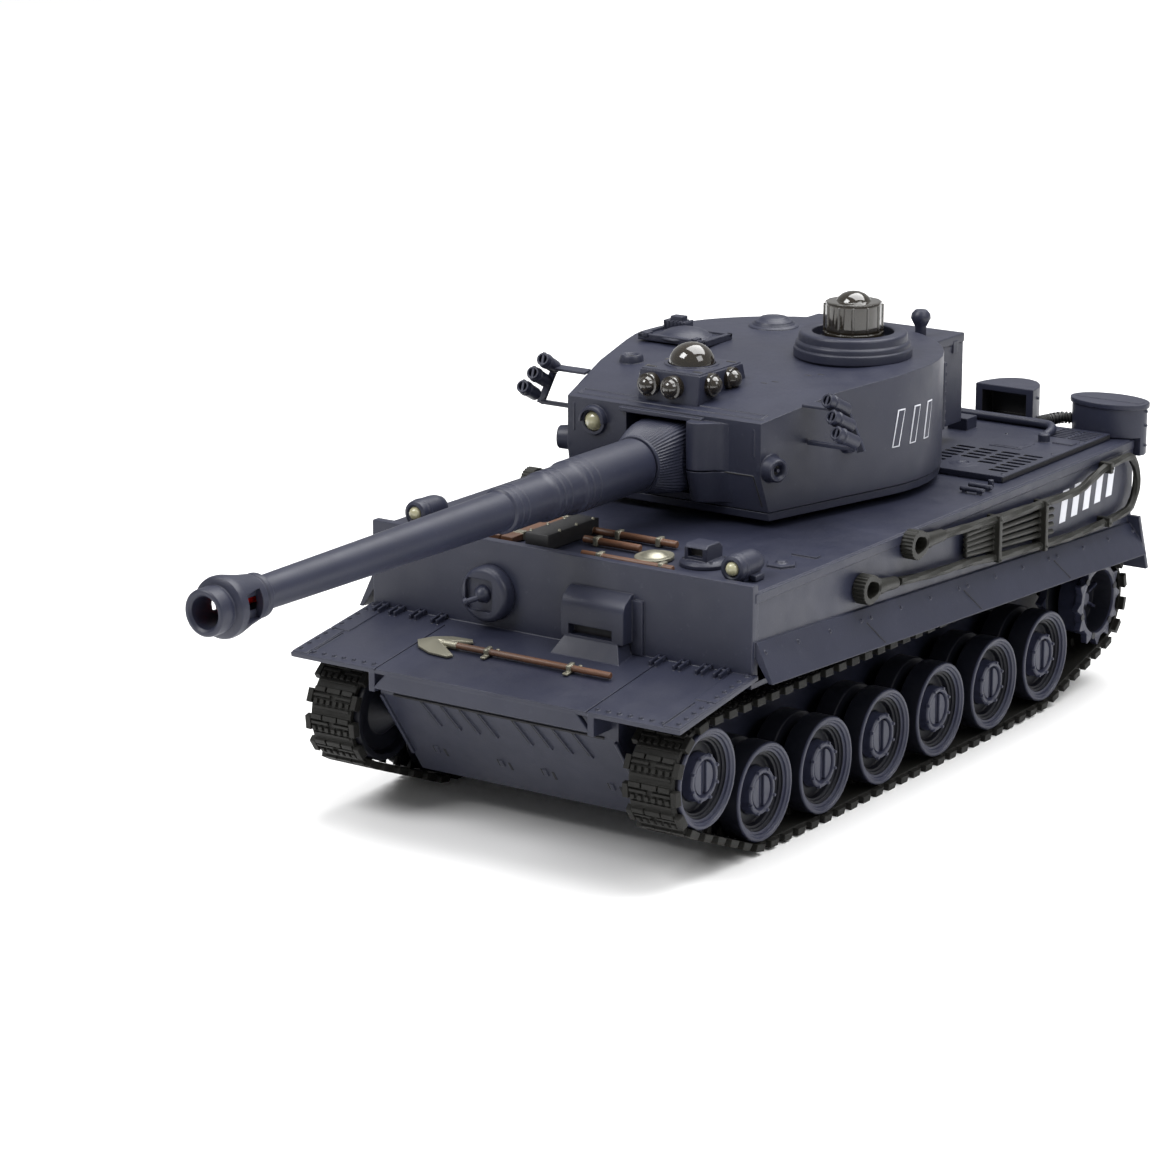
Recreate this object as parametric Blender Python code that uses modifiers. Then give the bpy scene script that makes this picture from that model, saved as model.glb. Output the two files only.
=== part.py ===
"""Radio-controlled model tank, modelled as the separate pieces it is assembled from.

World frame: metres, +Z up, the tank faces -Y and its left side is +X.
The origin is on the ground, in the middle of the overall length and width.
Sizes below are in millimetres; MM turns them into metres.
"""
import math

import bmesh
import bpy
from mathutils import Matrix, Vector

MM = 0.001
GAP = 0.3

# Hull
HULL_HALF = 56.0
HULL_FRONT, HULL_REAR = -32.8, 160.5
ROOF = 67.0
WALL = 1.8
PLATE_TOP = 68.9
JUNCTION_FRONT, JUNCTION_REAR = 55.1, 43.8
SKIRT_HALF = 61.3
SKIRT_FRONT, SKIRT_REAR = 45.6, 35.2
SKIRT_THICK = 1.1
FENDER_HALF, FENDER_FRONT = 57.0, -66.0
FENDER_FRONT_Z, FENDER_REAR_Z = 42.1, 47.2
FENDER_THICK = 1.3
TUB_HALF, TUB_BOTTOM, TUB_TOP, TUB_WALL = 35.0, 10.0, 43.4, 1.8
NOSE_TOP_Y, NOSE_Z, NOSE_FOOT_Y, NOSE_WALL = -58.5, 33.5, -42.0, 1.2
DECK_HALF, DECK_FRONT, DECK_REAR, DECK_TOP = 51.5, 95.0, 155.4, 68.8

# Engine deck grilles as (x, y, rows of slots), and the fittings over the hull's rear edge
GRILLE_PITCH, GRILLE_SLOT, GRILLE_HALF = 4.7, 2.2, 5.0
GRILLES = ((36.5, 100.0, 5), (-36.5, 100.0, 5), (44.0, 145.0, 2), (-44.0, 145.0, 2))
EXHAUST_X, EXHAUST_Y, EXHAUST_HALF, EXHAUST_DEPTH = 17.4, 157.4, 9.0, 12.4
EXHAUST_LOW, EXHAUST_TOP = 65.6, 77.4
CLEANER_X, CLEANER_Y, CLEANER_HALF, CLEANER_DEPTH = 47.2, 163.0, 11.6, 7.2
CLEANER_LOW, CLEANER_TOP = 62.2, 76.8

# Fittings on the front plate, the roof and the fender
HEADLIGHT_X, HEADLIGHT_R, HEADLIGHT_LENGTH = 46.8, 3.3, 12.0
BOW_GUN_X, BOW_GUN_Z, BOW_GUN_R = -19.4, 55.8, 7.1
PERISCOPE_X, PERISCOPE_Y, PERISCOPE_R = 32.0, -17.5, 6.0
SHOVEL_Y = -48.7

# Belly: battery bay, its door and the switch in its slot
BATTERY_HALF, BAY_FRONT, BAY_REAR = 16.0, 18.0, 92.0

# Tow cable on the hull's side, as (y, z) points from the lower eye to the upper one
RACK_X, CABLE_R, EYE_R = 58.1, 1.5, 3.3
CABLE_LOOP_Y, CABLE_LOOP_Z, CABLE_LOOP_R = 151.6, 56.0, 7.8
CABLE_LOWER = [(15.0, 57.6), (47.0, 54.4), (65.0, 53.2), (79.0, 51.6), (106.0, 49.2), (125.0, 48.0),
               (141.0, 47.8)]
CABLE_UPPER = [(141.0, 63.2), (132.0, 61.4), (124.0, 59.9), (103.0, 60.6), (78.0, 61.8), (55.0, 63.2),
               (38.0, 63.9)]

# Running gear
WHEEL_R, WHEEL_PITCH, WHEEL_FIRST_Y = 12.3, 28.2, -23.8
WHEEL_Z, END_WHEEL_Z = 14.55, 15.3
WHEEL_COUNT = 6
WHEEL_SEGMENTS = 18
WHEEL_FACE = 54.1
IDLER_Y, IDLER_Z = -49.3, 25.5
SPROCKET_Y, SPROCKET_Z = 148.3, 23.4
SPROCKET_R, SPROCKET_TEETH = 12.1, 14
AXLE_R, AXLE_HOLE_R, AXLE_END = 1.2, 1.6, 31.0
TRACK_IN, TRACK_OUT, TRACK_THICK = 39.3, 54.8, 1.9
TRACK_CLEARANCE = 0.35

# Final drive: the pinion turns the gear on the sprocket's axle
GEAR_TEETH, PINION_TEETH, GEAR_MODULE = 24, 8, 0.65
GEAR_X, GEAR_WIDTH = 26.0, 3.0
GEAR_R = GEAR_TEETH * GEAR_MODULE / 2
PINION_R = PINION_TEETH * GEAR_MODULE / 2
GEAR_BACKLASH = 0.2
MOTOR_R, MOTOR_LENGTH = 6.0, 21.0

# Turret
TURRET_X, TURRET_Y, TURRET_R = -2.5, 71.7, 42.5
TURRET_FRONT, TURRET_FRONT_HALF = 16.2, 29.0
TURRET_BASE, TURRET_FLOOR = 69.2, 71.2
TURRET_WALL = 2.0
ROOF_FRONT_Z, ROOF_BREAK_Y, ROOF_BREAK_Z, ROOF_FLAT_Y, ROOF_TOP = 94.5, 40.0, 98.6, 69.0, 100.5
RING_R, RING_HOLE_R = 27.0, 28.0
TRAVERSE_TEETH, TRAVERSE_PINION_TEETH, TRAVERSE_MODULE = 36, 9, 1.4
TRAVERSE_GEAR_R = TRAVERSE_TEETH * TRAVERSE_MODULE / 2
TRAVERSE_PINION_R = TRAVERSE_PINION_TEETH * TRAVERSE_MODULE / 2

LAUNCHER_R, LAUNCHER_LENGTH = 1.8, 12.6
LAUNCHER_LEAN = (1.9, 10.1, -7.3)
CUPOLA_X, CUPOLA_Y, CUPOLA_R, CUPOLA_FLOOR, CUPOLA_TOP = 16.7, 76.2, 14.6, 103.6, 106.9
VENT_X, VENT_Y, VENT_R = -19.5, 95.5, 5.8
HATCH_X, HATCH_Y = -29.5, 66.0
POD_LOW_X, POD_HIGH_X, POD_TOP = -13.0, 5.0, 103.2
SENSOR_X, SENSOR_Y, SENSOR_R = -4.2, 32.0, 5.9
BIN_LOW_X, BIN_HIGH_X, BIN_REAR, BIN_LOW, BIN_TOP = -24.6, 21.0, 127.2, 73.6, 98.2

# Gun
GUN_Z, PIVOT_Y = 82.8, 18.2
DRUM_R, DRUM_HALF = 8.8, 10.6
SLOT_HALF, SLOT_LOW, SLOT_HIGH = 11.0, 73.4, 92.6
MUZZLE_TIP = -162.4
SLEEVE_END, BARREL_END, BORE_R = 14.6, 161.8, 3.6

# Slide along Y that puts the middle of the overall length over the origin
CENTRE_SHIFT = -3.9

MATERIALS = {
    "hull_plastic": ((0.070, 0.074, 0.108), 0.42, 0.0),
    "wheel_plastic": ((0.060, 0.062, 0.100), 0.38, 0.0),
    "track_rubber": ((0.022, 0.022, 0.017), 0.62, 0.0),
    "olive_plastic": ((0.052, 0.052, 0.036), 0.50, 0.0),
    "smoked_clear": ((0.060, 0.055, 0.035), 0.12, 0.0),
    "lamp_clear": ((0.75, 0.72, 0.50), 0.20, 0.0),
    "red_clear": ((0.45, 0.02, 0.02), 0.20, 0.0),
    "tool_paint": ((0.22, 0.11, 0.045), 0.55, 0.0),
    "motor_steel": ((0.50, 0.50, 0.52), 0.35, 1.0),
    "gear_nylon": ((0.80, 0.79, 0.74), 0.45, 0.0),
    "battery_wrap": ((0.05, 0.20, 0.45), 0.40, 0.0),
    "board_green": ((0.02, 0.14, 0.05), 0.50, 0.0),
    "black_plastic": ((0.020, 0.020, 0.022), 0.50, 0.0),
}

ROUND_SEGMENTS = 20
TO_X = Matrix.Rotation(math.radians(90), 4, "Y")
TO_Y = Matrix.Rotation(math.radians(-90), 4, "X")


def clear_scene():
    for item in list(bpy.data.objects):
        bpy.data.objects.remove(item, do_unlink=True)


def make_materials():
    made = {}
    for name, (colour, roughness, metallic) in MATERIALS.items():
        material = bpy.data.materials.new(name)
        material.use_nodes = True
        shader = material.node_tree.nodes["Principled BSDF"]
        shader.inputs["Base Color"].default_value = (*colour, 1.0)
        shader.inputs["Roughness"].default_value = roughness
        shader.inputs["Metallic"].default_value = metallic
        made[name] = material
    return made


def as_object(mesh_tool, name="work"):
    """Turn a bmesh into a linked object in metres."""
    bmesh.ops.recalc_face_normals(mesh_tool, faces=mesh_tool.faces)
    mesh = bpy.data.meshes.new(name)
    mesh_tool.to_mesh(mesh)
    mesh_tool.free()
    item = bpy.data.objects.new(name, mesh)
    COLLECTION.objects.link(item)
    return item


def box(x_range, y_range, z_range):
    size = [(high - low) * MM for low, high in (x_range, y_range, z_range)]
    centre = Vector([(high + low) / 2 * MM for low, high in (x_range, y_range, z_range)])
    tool = bmesh.new()
    bmesh.ops.create_cube(tool, size=1.0, matrix=Matrix.Translation(centre) @ Matrix.Diagonal((*size, 1)))
    return as_object(tool)


def cylinder(radius, low, high, centre, turn=Matrix.Identity(4), segments=ROUND_SEGMENTS, top_radius=None):
    """Cylinder or cone along +Z from low to high, then turned and moved to centre."""
    tool = bmesh.new()
    end_radius = radius if top_radius is None else top_radius
    middle = Matrix.Translation((0, 0, (low + high) / 2 * MM))
    place = Matrix.Translation(Vector(centre) * MM) @ turn @ middle
    bmesh.ops.create_cone(tool, cap_ends=True, segments=segments, radius1=radius * MM,
                          radius2=end_radius * MM, depth=(high - low) * MM, matrix=place)
    return as_object(tool)


def dome(radius, height, centre, segments=16):
    """Upper half of a flattened ball standing on centre."""
    tool = bmesh.new()
    bmesh.ops.create_uvsphere(tool, u_segments=segments, v_segments=segments // 2, radius=1.0)
    cut = bmesh.ops.bisect_plane(tool, geom=tool.verts[:] + tool.edges[:] + tool.faces[:],
                                 plane_co=(0, 0, 0), plane_no=(0, 0, -1), clear_outer=True)
    rim = [item for item in cut["geom_cut"] if isinstance(item, bmesh.types.BMEdge)]
    bmesh.ops.edgeloop_fill(tool, edges=rim)
    scale = Matrix.Diagonal((radius * MM, radius * MM, height * MM, 1))
    bmesh.ops.transform(tool, matrix=Matrix.Translation(Vector(centre) * MM) @ scale, verts=tool.verts)
    return as_object(tool)


def evaluated_mesh(item):
    return bpy.data.meshes.new_from_object(item.evaluated_get(bpy.context.evaluated_depsgraph_get()))


def bake(item):
    """Replace an object by a plain mesh of what its curve or modifiers make."""
    bpy.context.view_layer.update()
    mesh = evaluated_mesh(item)
    matrix = item.matrix_world.copy()
    bpy.data.objects.remove(item, do_unlink=True)
    tool = bmesh.new()
    tool.from_mesh(mesh)
    bmesh.ops.transform(tool, matrix=matrix, verts=tool.verts)
    bmesh.ops.remove_doubles(tool, verts=tool.verts, dist=1e-6)
    bpy.data.meshes.remove(mesh)
    return as_object(tool)


def slab(outline, low, high, axis="Z"):
    """Closed flat outline thickened from low to high along an axis.

    Outline points are (x, y) for axis Z, (y, z) for axis X and (x, z) for axis Y.
    """
    curve = bpy.data.curves.new("outline", "CURVE")
    curve.dimensions = "2D"
    curve.fill_mode = "BOTH"
    curve.extrude = (high - low) / 2 * MM
    spline = curve.splines.new("POLY")
    spline.points.add(len(outline) - 1)
    for point, (u, v) in zip(spline.points, outline):
        point.co = (u * MM, v * MM, 0, 1)
    spline.use_cyclic_u = True
    item = bpy.data.objects.new("outline", curve)
    COLLECTION.objects.link(item)
    middle = (low + high) / 2 * MM
    if axis == "Z":
        item.matrix_world = Matrix.Translation((0, 0, middle))
    elif axis == "X":
        turn = Matrix(((0, 0, 1, 0), (1, 0, 0, 0), (0, 1, 0, 0), (0, 0, 0, 1)))
        item.matrix_world = Matrix.Translation((middle, 0, 0)) @ turn
    else:
        turn = Matrix(((1, 0, 0, 0), (0, 0, -1, 0), (0, 1, 0, 0), (0, 0, 0, 1)))
        item.matrix_world = Matrix.Translation((0, middle, 0)) @ turn
    return bake(item)


def turned(profile, centre, turn=Matrix.Identity(4), segments=ROUND_SEGMENTS):
    """Solid of revolution about +Z from (radius, height) points, top to bottom."""
    mesh = bpy.data.meshes.new("profile")
    points = [(radius * MM, 0, height * MM) for radius, height in profile]
    mesh.from_pydata(points, [(i, i + 1) for i in range(len(points) - 1)], [])
    item = bpy.data.objects.new("profile", mesh)
    COLLECTION.objects.link(item)
    item.matrix_world = Matrix.Translation(Vector(centre) * MM) @ turn
    screw = item.modifiers.new("Screw", "SCREW")
    screw.steps = screw.render_steps = segments
    screw.use_merge_vertices = True
    screw.merge_threshold = 1e-5
    return bake(item)


def combine(target, tools, operation):
    for tool in tools:
        modifier = target.modifiers.new("Boolean", "BOOLEAN")
        modifier.operation = operation
        modifier.solver = "EXACT"
        modifier.object = tool
        bpy.context.view_layer.update()
        mesh = evaluated_mesh(target)
        target.modifiers.remove(modifier)
        target.data = mesh
        bpy.data.objects.remove(tool, do_unlink=True)
    return target


def fuse(target, *tools):
    return combine(target, tools, "UNION")


def cut(target, *tools):
    return combine(target, tools, "DIFFERENCE")


def mirrored(item):
    """Copy of a work piece on the other side of the tank."""
    tool = bmesh.new()
    tool.from_mesh(item.data)
    bmesh.ops.transform(tool, matrix=item.matrix_world, verts=tool.verts)
    bmesh.ops.scale(tool, vec=(-1, 1, 1), verts=tool.verts)
    bmesh.ops.reverse_faces(tool, faces=tool.faces)
    return as_object(tool)


def body(name, pivot):
    """Empty on a body's joint axis; the body's pieces hang from it."""
    empty = bpy.data.objects.new(name + "_frame", None)
    COLLECTION.objects.link(empty)
    empty.location = Vector(pivot) * MM
    return empty


def piece(name, item, material, frame, smooth=True):
    """Name a finished solid, give it its material and hang it from its body's frame."""
    item.name = item.data.name = name
    item.data.materials.clear()
    item.data.materials.append(MADE[material])
    item.data.transform(Matrix.Translation(-frame.location))
    item.parent = frame
    if smooth:
        item.data.shade_smooth()
        item.data.set_sharp_from_angle(angle=math.radians(35))
    return item


def arc(centre_x, centre_y, radius, start_deg, end_deg, count):
    """Points along an arc, both ends included."""
    step = (end_deg - start_deg) / (count - 1)
    angles = [math.radians(start_deg + step * i) for i in range(count)]
    return [(centre_x + radius * math.cos(a), centre_y + radius * math.sin(a)) for a in angles]


# ---------------------------------------------------------------- hull

def side_line(front_value, rear_value, y):
    """Height of a line along the hull's side that slopes evenly from front to rear."""
    share = (y - HULL_FRONT) / (HULL_REAR - HULL_FRONT)
    return front_value + (rear_value - front_value) * share


def channel_loft(inset, y_start, y_end, drop):
    """Solid between the hull's front and rear cross-sections, drawn inwards by inset."""
    tool = bmesh.new()
    rings = []
    for y in (y_start, y_end):
        junction = side_line(JUNCTION_FRONT, JUNCTION_REAR, y) - inset / 2
        skirt = side_line(SKIRT_FRONT, SKIRT_REAR, y)
        flare = SKIRT_HALF - inset * SKIRT_THICK / WALL
        wall = HULL_HALF - inset
        half = [(flare, skirt - drop), (flare, skirt), (wall, junction), (wall, ROOF - inset)]
        if drop == 0:
            half = half[1:]
        section = [(-x, z) for x, z in half] + [(x, z) for x, z in reversed(half)]
        rings.append([tool.verts.new(Vector((x, y, z)) * MM) for x, z in section])
    front, rear = rings
    for i in range(len(front)):
        j = (i + 1) % len(front)
        tool.faces.new((front[i], front[j], rear[j], rear[i]))
    tool.faces.new(list(reversed(front)))
    tool.faces.new(rear)
    tool.normal_update()
    bmesh.ops.triangulate(tool, faces=tool.faces)
    return as_object(tool)


def make_visor():
    """Hooded driver's vision slot moulded on the front plate."""
    plate = HULL_FRONT - 1.0
    hood = box((3.6, 24.4), (plate - 4.0, plate + 0.5), (49.4, 61.6))
    fuse(hood, slab([(plate + 0.5, 61.0), (plate - 0.6, 61.0), (plate - 4.6, 47.5), (plate + 0.5, 47.5)],
                    5.4, 20.6, "X"))
    cut(hood, box((7.2, 18.8), (plate - 6.0, plate - 2.0), (50.6, 52.8)))
    return hood


def make_upper_hull(frame):
    shell = channel_loft(0.0, HULL_FRONT, HULL_REAR, 0.0)
    cut(shell, channel_loft(WALL, HULL_FRONT - 5.0, HULL_REAR + 5.0, 10.0))
    front_plate = box((-HULL_HALF - 0.05, HULL_HALF + 0.05), (HULL_FRONT - 1.0, HULL_FRONT + 1.6),
                      (FENDER_REAR_Z - 1.0, PLATE_TOP))
    rear_plate = box((-HULL_HALF + 0.5, HULL_HALF - 0.5), (HULL_REAR - 2.0, HULL_REAR + 0.4),
                     (JUNCTION_REAR, ROOF - 0.4))
    fender = slab([(FENDER_FRONT, FENDER_FRONT_Z - FENDER_THICK), (FENDER_FRONT, FENDER_FRONT_Z),
                   (HULL_FRONT + 0.5, FENDER_REAR_Z), (HULL_FRONT + 0.5, FENDER_REAR_Z - FENDER_THICK)],
                  -FENDER_HALF, FENDER_HALF, "X")
    lip = box((-33.0, 33.0), (FENDER_FRONT - 0.05, FENDER_FRONT + 2.0), (37.0, FENDER_FRONT_Z - 0.4))
    mudflap = slab([(HULL_REAR - 0.6, 46.0), (HULL_REAR + 4.8, 30.0), (HULL_REAR + 3.4, 30.0),
                    (HULL_REAR - 2.0, 46.0)], 38.0, SKIRT_HALF - 1.6, "X")
    fuse(shell, front_plate, rear_plate, fender, lip, mirrored(mudflap), mudflap, make_visor())
    cut(shell, cylinder(RING_HOLE_R, 60.0, 72.0, (TURRET_X, TURRET_Y, 0), segments=32))
    return piece("upper_hull", shell, "hull_plastic", frame)


def wheel_height(index):
    return END_WHEEL_Z if index in (0, WHEEL_COUNT - 1) else WHEEL_Z


def axle_places():
    """(y, z) of every axle on one side, front to rear."""
    wheels = [(WHEEL_FIRST_Y + WHEEL_PITCH * i, wheel_height(i)) for i in range(WHEEL_COUNT)]
    return [(IDLER_Y, IDLER_Z)] + wheels + [(SPROCKET_Y, SPROCKET_Z)]


def tub_profile(inset):
    """Side view of the lower hull, drawn inwards by the wall's thickness."""
    nose = inset * NOSE_WALL / TUB_WALL
    return [(NOSE_TOP_Y + nose, TUB_TOP), (NOSE_TOP_Y + nose, NOSE_Z), (NOSE_FOOT_Y + nose, TUB_BOTTOM + inset),
            (156.0 - inset, TUB_BOTTOM + inset), (160.0 - inset, 18.0), (160.0 - inset, TUB_TOP)]


def make_lower_hull(frame):
    tub = slab(tub_profile(0.0), -TUB_HALF, TUB_HALF, "X")
    hollow = slab([(y, z + (1.0 if z == TUB_TOP else 0.0)) for y, z in tub_profile(TUB_WALL)],
                  -TUB_HALF + TUB_WALL, TUB_HALF - TUB_WALL, "X")
    cut(tub, hollow)
    cut(tub, box((-36, 36), (-62.0, HULL_FRONT + 3.0), (40.0, 50.0)))
    floor = [box((side * 43.7 - 9.2, side * 43.7 + 9.2), (-29.0, 156.0), (42.0, TUB_TOP)) for side in (-1, 1)]
    fuse(tub, *floor)
    holes = []
    for y, z in axle_places():
        holes.append(cylinder(AXLE_HOLE_R, -40, 40, (0, y, z), TO_X, 8))
    cut(tub, *holes)
    bay = box((-BATTERY_HALF - 1, BATTERY_HALF + 1), (BAY_FRONT, BAY_REAR), (5.0, 12.9))
    slot = box((-4.0, 4.0), (104.0, 116.0), (5.0, 12.9))
    cut(tub, bay, slot)
    return piece("lower_hull", tub, "hull_plastic", frame)


def make_belly(frame, switch_frame):
    door = box((-BATTERY_HALF - 0.6, BATTERY_HALF + 0.6), (BAY_FRONT + 0.4, BAY_REAR - 0.4),
               (TUB_BOTTOM, TUB_BOTTOM + TUB_WALL))
    piece("battery_door", door, "hull_plastic", frame)
    cells = box((-BATTERY_HALF + 0.6, BATTERY_HALF - 0.6), (BAY_FRONT + 4.0, BAY_REAR - 4.0),
                (TUB_BOTTOM + TUB_WALL + GAP, 27.0))
    piece("battery_pack", cells, "battery_wrap", frame)
    board = box((-25.0, 25.0), (2.0, 100.0), (46.0, 47.6))
    chip_places = ((-20, 12), (6, 30), (-10, 60), (10, 78))
    chips = [box((x, x + 9.0), (y, y + 9.0), (47.5, 50.0)) for x, y in chip_places]
    fuse(board, *chips)
    piece("control_board", board, "board_green", frame)
    speaker = turned([(0, 36.0), (10.0, 36.0), (10.0, 33.0), (6.0, 30.5), (6.0, 28.0), (0, 28.0)],
                     (0, -12, 0))
    piece("speaker", speaker, "black_plastic", frame)
    knob = box((-3.2, 3.2), (105.0, 110.0), (TUB_BOTTOM - 0.6, TUB_BOTTOM + 5.0))
    piece("power_switch", knob, "black_plastic", switch_frame)


def make_engine_deck(frame):
    deck = box((-DECK_HALF, DECK_HALF), (DECK_FRONT, DECK_REAR), (ROOF + GAP, DECK_TOP))
    cuts = []
    for grille_x, grille_y, rows in GRILLES:
        for row in range(rows):
            y = grille_y + row * GRILLE_PITCH
            cuts.append(box((grille_x - GRILLE_HALF, grille_x + GRILLE_HALF), (y, y + GRILLE_SLOT),
                            (ROOF + 1.0, DECK_TOP + 1.0)))
    cut(deck, *cuts)
    return piece("engine_deck", deck, "hull_plastic", frame)


def oval(centre, half_x, half_y, count, last_deg):
    """Points along an ellipse from its +X end to last_deg."""
    circle = arc(0.0, 0.0, 1.0, 0.0, last_deg, count)
    return [(centre[0] + half_x * u, centre[1] + half_y * v) for u, v in circle]


def rear_edge_cutter(centre_x):
    """Room for the corner of the roof and rear plate under a fitting that overhangs it."""
    return box((centre_x - 22.0, centre_x + 22.0), (150.0, HULL_REAR + 0.4 + GAP), (60.0, ROOF + GAP))


def make_hull_fittings(frame):
    """Everything fixed on the upper hull, left and right pieces in pairs."""
    for side, label in ((1, "left"), (-1, "right")):
        lamp_x = side * HEADLIGHT_X
        lamp = turned([(0, HEADLIGHT_LENGTH), (2.2, 11.2), (HEADLIGHT_R, 8.6), (HEADLIGHT_R, 0.0), (0, 0.0)],
                      (lamp_x, -28.7, ROOF + 3.5), TO_Y, 16)
        fuse(lamp, box((lamp_x - 2.0, lamp_x + 2.0), (-26.0, -20.0), (ROOF + GAP, ROOF + 3.0)))
        piece(f"headlight_{label}", lamp, "lamp_clear", frame)

        shield_x = side * EXHAUST_X
        half_oval = oval((shield_x, EXHAUST_Y), EXHAUST_HALF, EXHAUST_DEPTH, 13, 180.0)
        shield = slab(half_oval, EXHAUST_LOW, EXHAUST_TOP)
        mouth = box((shield_x - 6.6, shield_x + 6.6), (150.0, 163.5), (ROOF + 1.8, EXHAUST_TOP - 1.8))
        cut(shield, mouth, rear_edge_cutter(shield_x))
        piece(f"exhaust_cover_{label}", shield, "hull_plastic", frame)

        can_x = side * CLEANER_X
        can = slab(oval((can_x, CLEANER_Y), CLEANER_HALF, CLEANER_DEPTH, 24, 345.0), CLEANER_LOW, CLEANER_TOP)
        cut(can, rear_edge_cutter(can_x))
        piece(f"air_cleaner_{label}", can, "hull_plastic", frame)
        make_side_rack(label, side, frame)

    shaft = cylinder(BOW_GUN_R, 0, 2.6, (BOW_GUN_X, HULL_FRONT - 1.0 - GAP - 2.6, BOW_GUN_Z), TO_Y)
    fuse(shaft, cylinder(1.0, 0, 5.0, (BOW_GUN_X, HULL_FRONT - 8.0, BOW_GUN_Z - 0.8), TO_Y, 12))
    piece("bow_gun", shaft, "hull_plastic", frame)

    slope = (FENDER_REAR_Z - FENDER_FRONT_Z) / (HULL_FRONT - FENDER_FRONT)
    tilt = Matrix.Rotation(math.atan(slope), 4, "X")
    shovel = box((-20.0, 26.4), (-0.8, 0.8), (0.0, 1.6))
    fuse(shovel, box((-31.4, -19.0), (-5.4, 5.4), (0.0, 1.0)))
    shovel_z = FENDER_FRONT_Z + (SHOVEL_Y - FENDER_FRONT) * slope + GAP
    shovel.data.transform(Matrix.Translation(Vector((0, SHOVEL_Y, shovel_z + 0.1)) * MM) @ tilt)
    piece("glacis_shovel", shovel, "tool_paint", frame)

    tools = box((-25.0, 25.0), (-27.0, -7.5), (ROOF + GAP, ROOF + 0.9))
    planks = [box((x, x + 3.2), (-27.0, 0.0), (ROOF + GAP, ROOF + 2.6)) for x in (-24.5, -20.3)]
    block = box((-12.5, -5.5), (-27.0, -7.5), (ROOF + GAP, ROOF + 4.4))
    bars = [box((-6.0, 18.0), (y, y + 1.7), (ROOF + GAP, ROOF + 2.4)) for y in (-10.0, -18.0)]
    fuse(tools, *planks, block, *bars)
    piece("roof_tools", tools, "tool_paint", frame)

    periscope = turned([(0, ROOF + 2.2), (PERISCOPE_R - 1.0, ROOF + 2.0), (PERISCOPE_R, ROOF + 1.2),
                        (PERISCOPE_R, ROOF + GAP), (0, ROOF + GAP)], (PERISCOPE_X, PERISCOPE_Y, 0))
    fuse(periscope, box((PERISCOPE_X - 3.0, PERISCOPE_X + 3.0), (-21.0, -14.5), (ROOF + 1.0, ROOF + 5.8)))
    cut(periscope, box((PERISCOPE_X - 2.0, PERISCOPE_X + 2.0), (-23.0, -19.0), (ROOF + 2.6, ROOF + 4.6)))
    piece("driver_periscope", periscope, "smoked_clear", frame)


def tube(route, radius):
    """Round bar along a list of points in millimetres, with closed ends."""
    curve = bpy.data.curves.new("route", "CURVE")
    curve.dimensions = "3D"
    curve.bevel_depth = radius * MM
    curve.bevel_resolution = 0
    curve.use_fill_caps = True
    spline = curve.splines.new("POLY")
    spline.points.add(len(route) - 1)
    for point, place in zip(spline.points, route):
        point.co = (*(value * MM for value in place), 1)
    item = bpy.data.objects.new("route", curve)
    COLLECTION.objects.link(item)
    return bake(item)


def make_side_rack(label, side, frame):
    """Moulded tow cable looped round the hull's side, with the cleaning rods between its runs."""
    runs = CABLE_LOWER + arc(CABLE_LOOP_Y, CABLE_LOOP_Z, CABLE_LOOP_R, -80, 80, 7) + CABLE_UPPER
    rack = tube([(RACK_X, y, z) for y, z in runs], CABLE_R)
    eyes = [slab(arc(y, z, EYE_R, 0, 330, 12), RACK_X - CABLE_R, RACK_X + CABLE_R, "X")
            for y, z in (CABLE_LOWER[0], CABLE_UPPER[-1])]
    rods = slab([(64.5, 54.4), (64.5, 61.0), (112.0, 60.0), (112.0, 50.6)], RACK_X - CABLE_R,
                RACK_X + CABLE_R, "X")
    clamps = [box((RACK_X - CABLE_R, RACK_X + CABLE_R + 0.4), (y - 0.7, y + 0.7), (low, high))
              for y, low, high in ((79.5, 50.4, 62.4), (104.6, 48.4, 61.4), (141.0, 47.0, 63.6))]
    fuse(rack, *eyes, rods, *clamps)
    if side < 0:
        other = mirrored(rack)
        bpy.data.objects.remove(rack, do_unlink=True)
        rack = other
    piece(f"side_rack_{label}", rack, "olive_plastic", frame)


# ---------------------------------------------------------------- running gear

def wheel_solid(y, z):
    """Double road wheel with its stub axle, on the +X side; heights run outwards along +X."""
    face = WHEEL_FACE
    profile = [(0, face - 1.2), (4.4, face - 1.2), (9.4, face - 3.2), (10.6, face), (WHEEL_R, face),
               (WHEEL_R, face - 6.2), (5.0, face - 6.6), (5.0, face - 8.6), (WHEEL_R, face - 9.0),
               (WHEEL_R, face - 14.4), (AXLE_R, TUB_HALF + 0.8), (AXLE_R, AXLE_END), (0, AXLE_END)]
    return turned(profile, (0, y, z), TO_X, WHEEL_SEGMENTS)


def gear_outline(teeth, module, phase_deg):
    """Simple trapezoid-toothed spur gear outline about the origin."""
    pitch = teeth * module / 2
    outer, root = pitch + 0.75 * module, pitch - 1.1 * module
    step = 2 * math.pi / teeth
    points = []
    for index in range(teeth):
        middle = math.radians(phase_deg) + index * step
        for radius, share in ((root, -0.32), (outer, -0.13), (outer, 0.13), (root, 0.32)):
            angle = middle + share * step
            points.append((radius * math.cos(angle), radius * math.sin(angle)))
    return points


def spur_gear(teeth, module, centre, low, high, axis, phase_deg):
    """Gear about an axis along X (centre is y, z) or along Z (centre is x, y)."""
    outline = [(centre[0] + u, centre[1] + v) for u, v in gear_outline(teeth, module, phase_deg)]
    return slab(outline, low, high, axis)


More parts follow.
